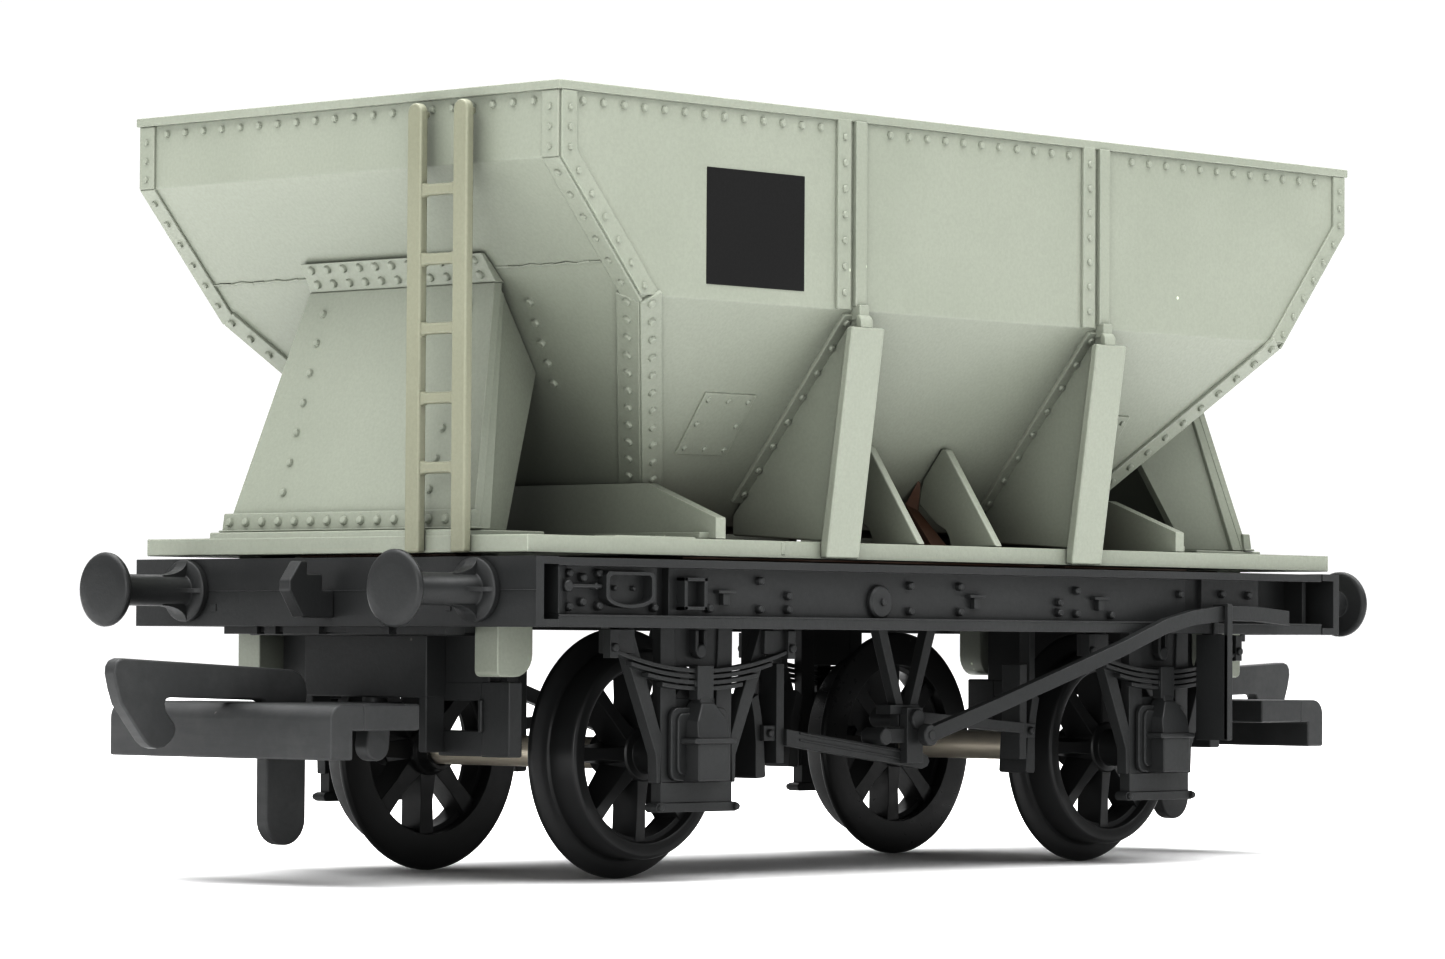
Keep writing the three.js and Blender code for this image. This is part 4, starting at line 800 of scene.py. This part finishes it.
# ---------- brake gear, built at -Y
for side, _, turn in SIDES:
    gear = Piece(turn)
    y0, y1 = -11.05, -10.4
    for s in (-1, 1):
        gear.prism("Y", [(s * 0.1, 9.0), (s * 0.75, 9.0), (s * 2.65, 14.2), (s * 1.85, 14.2)], y0, y1)
    gear.box((-1.65, 0.85), (y0 - 0.2, y1 + 0.3), (9.0, 9.55))
    gear.box((-0.75, 0.75), (y0, y1), (8.3, 9.1))
    gear.rod((0, -12.0, 8.75), (0, -8.6, 8.75), 0.55, segments=24, crown=0.06)
    gear.rod((-2.7, -11.9, 7.75), (-2.7, -10.3, 7.75), 0.5, crown=0.06)
    gear.box((-0.7, 0.7), (-11.7, -11.1), (6.2, 9.4))
    gear.box((-2.9, 0.3), (-11.5, -10.9), (7.35, 8.2))
    long_rod = [(-10.35, 7.3), (-10.35, 8.22), (1.3, 6.78), (1.75, 6.6), (1.92, 6.3), (1.75, 6.0),
                (1.3, 5.85)]
    gear.prism("Y", long_rod, -11.15, -10.5)
    for lift in (0.24, 0.62):  # two raised lines along it
        gear.hull([(x, y, z + w) for x, z in ((-9.3, 7.3), (1.2, 5.92)) for y in (-11.22, -11.0)
                   for w in (lift, lift + 0.13)])
    gear.prism("Y", [(-0.3, 8.6), (10.35, 7.82), (10.35, 8.47), (-0.3, 9.25)], -11.15, -10.5)
    look(gear, f"brake_rigging_{side}", "wagon", chassis_black, 0.08)

    lever = Piece(turn)
    spots = [(0.3, -12.36, 7.8), (4.6, -13.6, 9.42), (9.1, -14.93, 11.2), (13.3, -16.12, 12.85),
             (15.2, -16.33, 13.58), (17.0, -16.36, 14.18), (19.5, -16.36, 14.68), (22.6, -16.36, 15.0),
             (25.8, -16.36, 14.97), (28.9, -16.36, 14.75)]
    section = [(-0.28, -0.45), (0.28, -0.45), (0.28, 0.45), (-0.28, 0.45)]
    lever.path(spots, section)
    lever.rod((0.35, -12.66, 7.82), (0.35, -12.06, 7.82), 0.62, segments=24, crown=0.06)
    lever.rod((0.35, -12.72, 7.82), (0.35, -12.0, 7.82), 0.28, segments=16)
    lever.box((22.3, 22.78), (-17.0, -14.62), (7.4, 13.72))
    lever.box((22.3, 22.78), (-17.02, -16.74), (7.45, 15.5))
    lever.box((22.32, 22.76), (-17.0, -15.86), (15.42, 15.56))
    lever.box((22.34, 22.74), (-15.98, -15.85), (13.6, 15.5))
    look(lever, f"brake_lever_{side}", "wagon", chassis_black, 0.07)

for end, sign, _ in ENDS:
    for side, _, turn in SIDES:
        s = sign if side == "left" else -sign
        node = f"brake_shoe_{end}_{side}"
        shoe = Piece(turn)
        pad = [(11.37, 5.6), (11.45, 5.5), (12.1, 5.46), (12.2, 5.6), (12.2, 7.4), (12.26, 8.2),
               (12.36, 8.9), (12.6, 9.9), (12.0, 10.2), (11.7, 8.9), (11.58, 8.2), (11.5, 7.4)]
        shoe.prism("Y", [(s * x, z) for x, z in pad], -10.5, -8.4)
        shoe.box(span(s, 11.9, 12.4), (-10.3, -9.5), (9, 14.18))
        shoe.box(span(s, 10.3, 10.95), (-10.9, -9.5), (6.3, 11.9))
        shoe.box(span(s, 10.4, 11.86), (-10.8, -9.6), (7.55, 8.43))
        shoe.bolt((s * 11.4, -10.77, 7.98), (0, -1, 0), 0.24, 0.22)
        look(shoe, node, "wagon", chassis_black, 0.08)

# ---------- couplings, built at +X
PEG_X, PIVOT_X, PIVOT_Z = 31.5, 38.3, 9.0
for end, _, turn in ENDS:
    node = f"coupling_mount_{end}"
    mount = Piece(turn)
    mount.box((30.8, 32.3), (-4.84, 4.84), (9.95, 13.35))
    for s in (-1, 1):
        mount.box((30.84, 32.26), span(s, 4.2, 4.8), (7.0, 10.2))
        mount.box((29.9, 30.9), span(s, 7.6, 9.8), (6.8, 10.85))
        mount.box((29.93, 30.87), span(s, 4.3, 7.8), (6.83, 8.2))
        mount.box((29.93, 30.87), span(s, 4.3, 9.0), (9.8, 10.82))
        mount.box((29.96, 30.84), span(s, 4.0, 8.2), (10.6, 14.18))
        mount.box((30.7, 31.1), span(s, 7.55, 7.85), (8.1, 9.9))
    mount.box((29.92, 30.88), (-4.84, 4.84), (9.95, 14.16))
    mount.box((30.0, 34.0), (-7.5, 7.5), (13.28, 13.74))
    mount.lathe([(0, 0), (0.5, 0), (0.7, 0.2), (0.7, 2.4), (0, 2.4)], (PEG_X, 0, 7.9), (0, 0, 1), 24)
    look(mount, node, "wagon", chassis_black, 0.1)

    body = f"coupling_{end}"
    node = f"coupling_bar_{end}"
    bar = Piece(turn)
    face, y_half, low_z, top_z, plate_z = 42.9, 8.78, 6.75, 9.68, 8.27
    nose = [(face, low_z)] + arc(face - 0.9, top_z - 0.9, 0.9, 0, 90, 8)
    leg = [(41.3, plate_z), (41.3, low_z)] + nose + [(40.5, top_z), (40.5, plate_z)]
    bar.prism("Y", leg, -y_half, y_half)
    for s in (-1, 1):
        bar.box((36.5, 40.6), span(s, 0.75, y_half), (plate_z, top_z))
        bar.box((35.4, 36.6), span(s, 0.75, 1.8), (plate_z, top_z))
    lug = [(39.1, 8.4)] + arc(PIVOT_X + 0.1, 7.5, 0.85, 0, -180, 10) + [(37.5, 8.4)]
    bar.prism("Y", lug, 6.6, 7.6)
    ring_out = arc(PEG_X, 0, 1.6, 0, 360, 32)[:-1]
    ring_in = arc(PEG_X, 0, 1.0, 0, 360, 32)[:-1]
    bar.loft([[(a, b, z) for a, b in ring] for ring, z in
              ((ring_out, plate_z), (ring_out, top_z), (ring_in, top_z), (ring_in, plate_z))], closed=True)
    neck = [(35.45, -1.8), (35.45, 1.8), (32.9, 1.8), (32.3, 1.15), (32.62, 0.45), (32.62, -0.45),
            (32.3, -1.15), (32.9, -1.8)]
    bar.prism("Z", neck, plate_z, top_z)
    bar.rod((PIVOT_X, -1.2, PIVOT_Z), (PIVOT_X, 1.2, PIVOT_Z), 0.4, segments=16)
    look(bar, node, body, coupling_black, 0.13, steps=3)

    node = f"coupling_hook_{end}"
    hook = Piece(turn)
    r, dropper_x = 1.42, PIVOT_X + 0.08
    dropper = arc(dropper_x, 2.03 + r, r, 180, 360, 14)
    under = [(dropper_x + r, 9.45), (dropper_x + r + 0.15, 9.72), (dropper_x + r + 0.45, 9.8), (46.5, 9.96)]
    throat = [(46.85, 9.9), (47.0, 9.68), (46.9, 9.25), (46.6, 8.9), (46.3, 8.6), (46.2, 8.3), (46.3, 7.95)]
    tip = [(46.6, 7.6), (47.0, 7.36), (47.5, 7.27), (47.95, 7.36), (48.35, 7.66)]
    nose = [(49.2, 8.65), (50.0, 9.6), (50.3, 10.4), (50.5, 11.2), (50.46, 11.6), (50.25, 11.9), (49.9, 12.0)]
    shoulder = [(38.4, 11.46), (37.9, 11.42), (37.35, 11.2), (37.0, 10.75), (36.88, 10.2)]
    outline = dropper + under + throat + tip + nose + shoulder + [(dropper_x - r, 9.6)]
    hook.prism("Y", outline, -0.44, 0.44)
    look(hook, node, f"hook_{end}", coupling_black, 0.26, steps=4)

# ---------- wheels and axles
for end, sign, _ in ENDS:
    x = sign * WHEEL_X
    for side, out, _ in SIDES:
        node = f"wheel_{end}_{side}"
        wheel = Piece()
        base, axis = Vector((x, 0, AXLE_Z)), Vector((0, out, 0))
        flange_r, tread_r, rim_r = 6.9, 5.8, 4.86
        flange = [(rim_r, 7.2), (6.45, 7.2), (6.75, 7.26), (6.88, 7.38), (flange_r, 7.5), (6.86, 7.64),
                  (6.7, 7.76)]
        tread = [(6.2, 7.85), (5.95, 7.92), (5.86, 8.05), (tread_r, 9.55), (5.72, 9.72), (5.6, 9.8),
                 (5.05, 9.8)]
        inner_rim = [(rim_r + 0.1, 7.9), (rim_r + 0.1, 9.3), (rim_r - 0.28, 9.2), (rim_r - 0.28, 8.0)]
        hub = [(0.93, 6.4), (1.2, 6.4), (1.32, 7.1), (1.5, 7.2), (1.55, 9.45), (1.45, 9.6), (1.1, 9.7),
               (1.0, 10.2), (0.93, 10.25)]
        wheel.lathe(flange + tread + [(4.9, 9.74), (rim_r, 9.6)], base, axis, 96, closed=True)
        wheel.lathe(inner_rim, base, axis, 96, closed=True)
        wheel.lathe(hub, base, axis, 40, closed=True)
        for i in range(8):
            a = math.radians(45 * i)
            radial = Vector((math.cos(a), 0, math.sin(a)))
            across = Vector((-math.sin(a), 0, math.cos(a)))
            rings = []
            spoke = ((1.2, 0.62, 7.5, 9.5), (3.0, 0.46, 7.6, 9.35), (5.0, 0.56, 7.6, 9.3))
            for r, half, y_in, y_out in spoke:
                corners = ((-half, y_in), (half, y_in), (half * 0.7, y_out), (-half * 0.7, y_out))
                rings.append([base + radial * r + across * w + axis * y for w, y in corners])
            wheel.loft(rings)
        look(wheel, node, f"wheelset_{end}", wheel_black, 0.05, sharp=30)
    axle = Piece()
    half_axle = [(0.87, 6.35), (0.87, 11.3), (0.84, 11.4), (0.3, 12.9), (0, 13.2)]
    axle.lathe([(r, -y) for r, y in half_axle[::-1]] + half_axle, (x, 0, AXLE_Z), (0, 1, 0), 32)
    look(axle, f"axle_{end}", f"wheelset_{end}", axle_steel, 0.0)
    stubs = Piece()
    for out in (-1, 1):
        bush = [(0.9, 10.1), (1.12, 10.15), (1.0, 11.2), (0.94, 11.2)]
        stubs.lathe(bush, (x, 0, AXLE_Z), (0, out, 0), 32, closed=True)
    make(stubs, f"axle_stubs_{end}", f"wheelset_{end}", wheel_black, 0.0)

# ---------- studio
WORLD_LOW, WORLD_HIGH = 0.18, 1.5  # light from the horizon and from overhead
ground = Piece()
ground.box((-4000, 4000), (-4000, 4000), (-20, 0))
bmesh.ops.recalc_face_normals(ground.mesh, faces=ground.mesh.faces)
bmesh.ops.scale(ground.mesh, vec=(MM, MM, MM), verts=ground.mesh.verts)
data = bpy.data.meshes.new("studio_floor")
ground.mesh.to_mesh(data)
ground.mesh.free()
floor_object = bpy.data.objects.new("studio_floor", data)
bpy.context.scene.collection.objects.link(floor_object)
paper = bpy.data.materials.new("studio_paper")
paper.use_nodes = True
shader = next(n for n in paper.node_tree.nodes if n.type == "BSDF_PRINCIPLED")
shader.inputs["Base Color"].default_value = (0.86, 0.86, 0.86, 1)
shader.inputs["Roughness"].default_value = 0.9
data.materials.append(paper)

dome = bpy.data.meshes.new("studio_backdrop")
shell = bmesh.new()
bmesh.ops.create_uvsphere(shell, u_segments=48, v_segments=24, radius=9.0)
shell.to_mesh(dome)
shell.free()
backdrop = bpy.data.objects.new("studio_backdrop", dome)
bpy.context.scene.collection.objects.link(backdrop)
glow = bpy.data.materials.new("studio_glow")
glow.use_nodes = True
glow.node_tree.nodes.clear()
emitter = glow.node_tree.nodes.new("ShaderNodeEmission")
target = glow.node_tree.nodes.new("ShaderNodeOutputMaterial")
glow.node_tree.links.new(emitter.outputs[0], target.inputs[0])
emitter.inputs["Strength"].default_value = 1.05
dome.materials.append(glow)
for flag in ("visible_diffuse", "visible_glossy", "visible_transmission", "visible_volume_scatter",
             "visible_shadow"):
    setattr(backdrop, flag, False)

# The room is bright overhead and dim towards the horizon; the dome above only shows white to the camera.
world = bpy.data.worlds.new("studio")
bpy.context.scene.world = world
world.use_nodes = True
room, wires = world.node_tree.nodes, world.node_tree.links
sky = next(n for n in room if n.type == "BACKGROUND")
height = room.new("ShaderNodeSeparateXYZ")
wires.new(room.new("ShaderNodeTexCoord").outputs["Generated"], height.inputs[0])
level = between(room, wires, height.outputs["Z"], 0.0, 0.6, WORLD_LOW, WORLD_HIGH)
wires.new(level, sky.inputs["Strength"])
sky.inputs["Color"].default_value = (1, 1, 1, 1)


def softbox(name, spot, target, size, watts, colour=(1, 1, 1)):
    lamp = bpy.data.lights.new(name, "AREA")
    lamp.shape = "RECTANGLE"
    lamp.size, lamp.size_y = size
    lamp.energy = watts
    lamp.color = colour
    holder = bpy.data.objects.new(name, lamp)
    holder.location = spot
    holder.rotation_euler = (Vector(target) - Vector(spot)).to_track_quat("-Z", "Y").to_euler()
    bpy.context.scene.collection.objects.link(holder)


softbox("top_light", (0.0, 0.0, 1.2), (0, 0, 0), (1.8, 1.8), 40.0)
softbox("key_light", (0.4, -0.62, 0.75), (0, 0, 0.02), (0.5, 0.4), 2.5)
softbox("fill_light", (-0.85, -0.42, 0.2), (0, 0, 0.02), (0.5, 0.36), 3.3)

# ---------- camera
YAW, PITCH, ROLL = math.radians(47.025), math.radians(1.814), math.radians(0.346)
ahead = Vector((math.sin(YAW) * math.cos(PITCH), math.cos(YAW) * math.cos(PITCH), math.sin(PITCH)))
flat_right = Vector((math.cos(YAW), -math.sin(YAW), 0))
flat_up = flat_right.cross(ahead)
right = flat_right * math.cos(ROLL) + flat_up * math.sin(ROLL)
up = flat_up * math.cos(ROLL) - flat_right * math.sin(ROLL)
lens = bpy.data.cameras.new("photo_camera")
lens.sensor_fit = "HORIZONTAL"
lens.sensor_width = 36.0
lens.lens = 134.4
lens.clip_start, lens.clip_end = 0.01, 20.0
camera = bpy.data.objects.new("photo_camera", lens)
camera.matrix_world = Matrix.Translation(Vector((-234.17, -214.64, 12.60)) * MM) @ Matrix(
    (right, up, -ahead)).transposed().to_4x4()
bpy.context.scene.collection.objects.link(camera)
bpy.context.scene.camera = camera
bpy.context.scene.view_settings.view_transform = "Standard"
bpy.context.scene.view_settings.gamma = 0.62
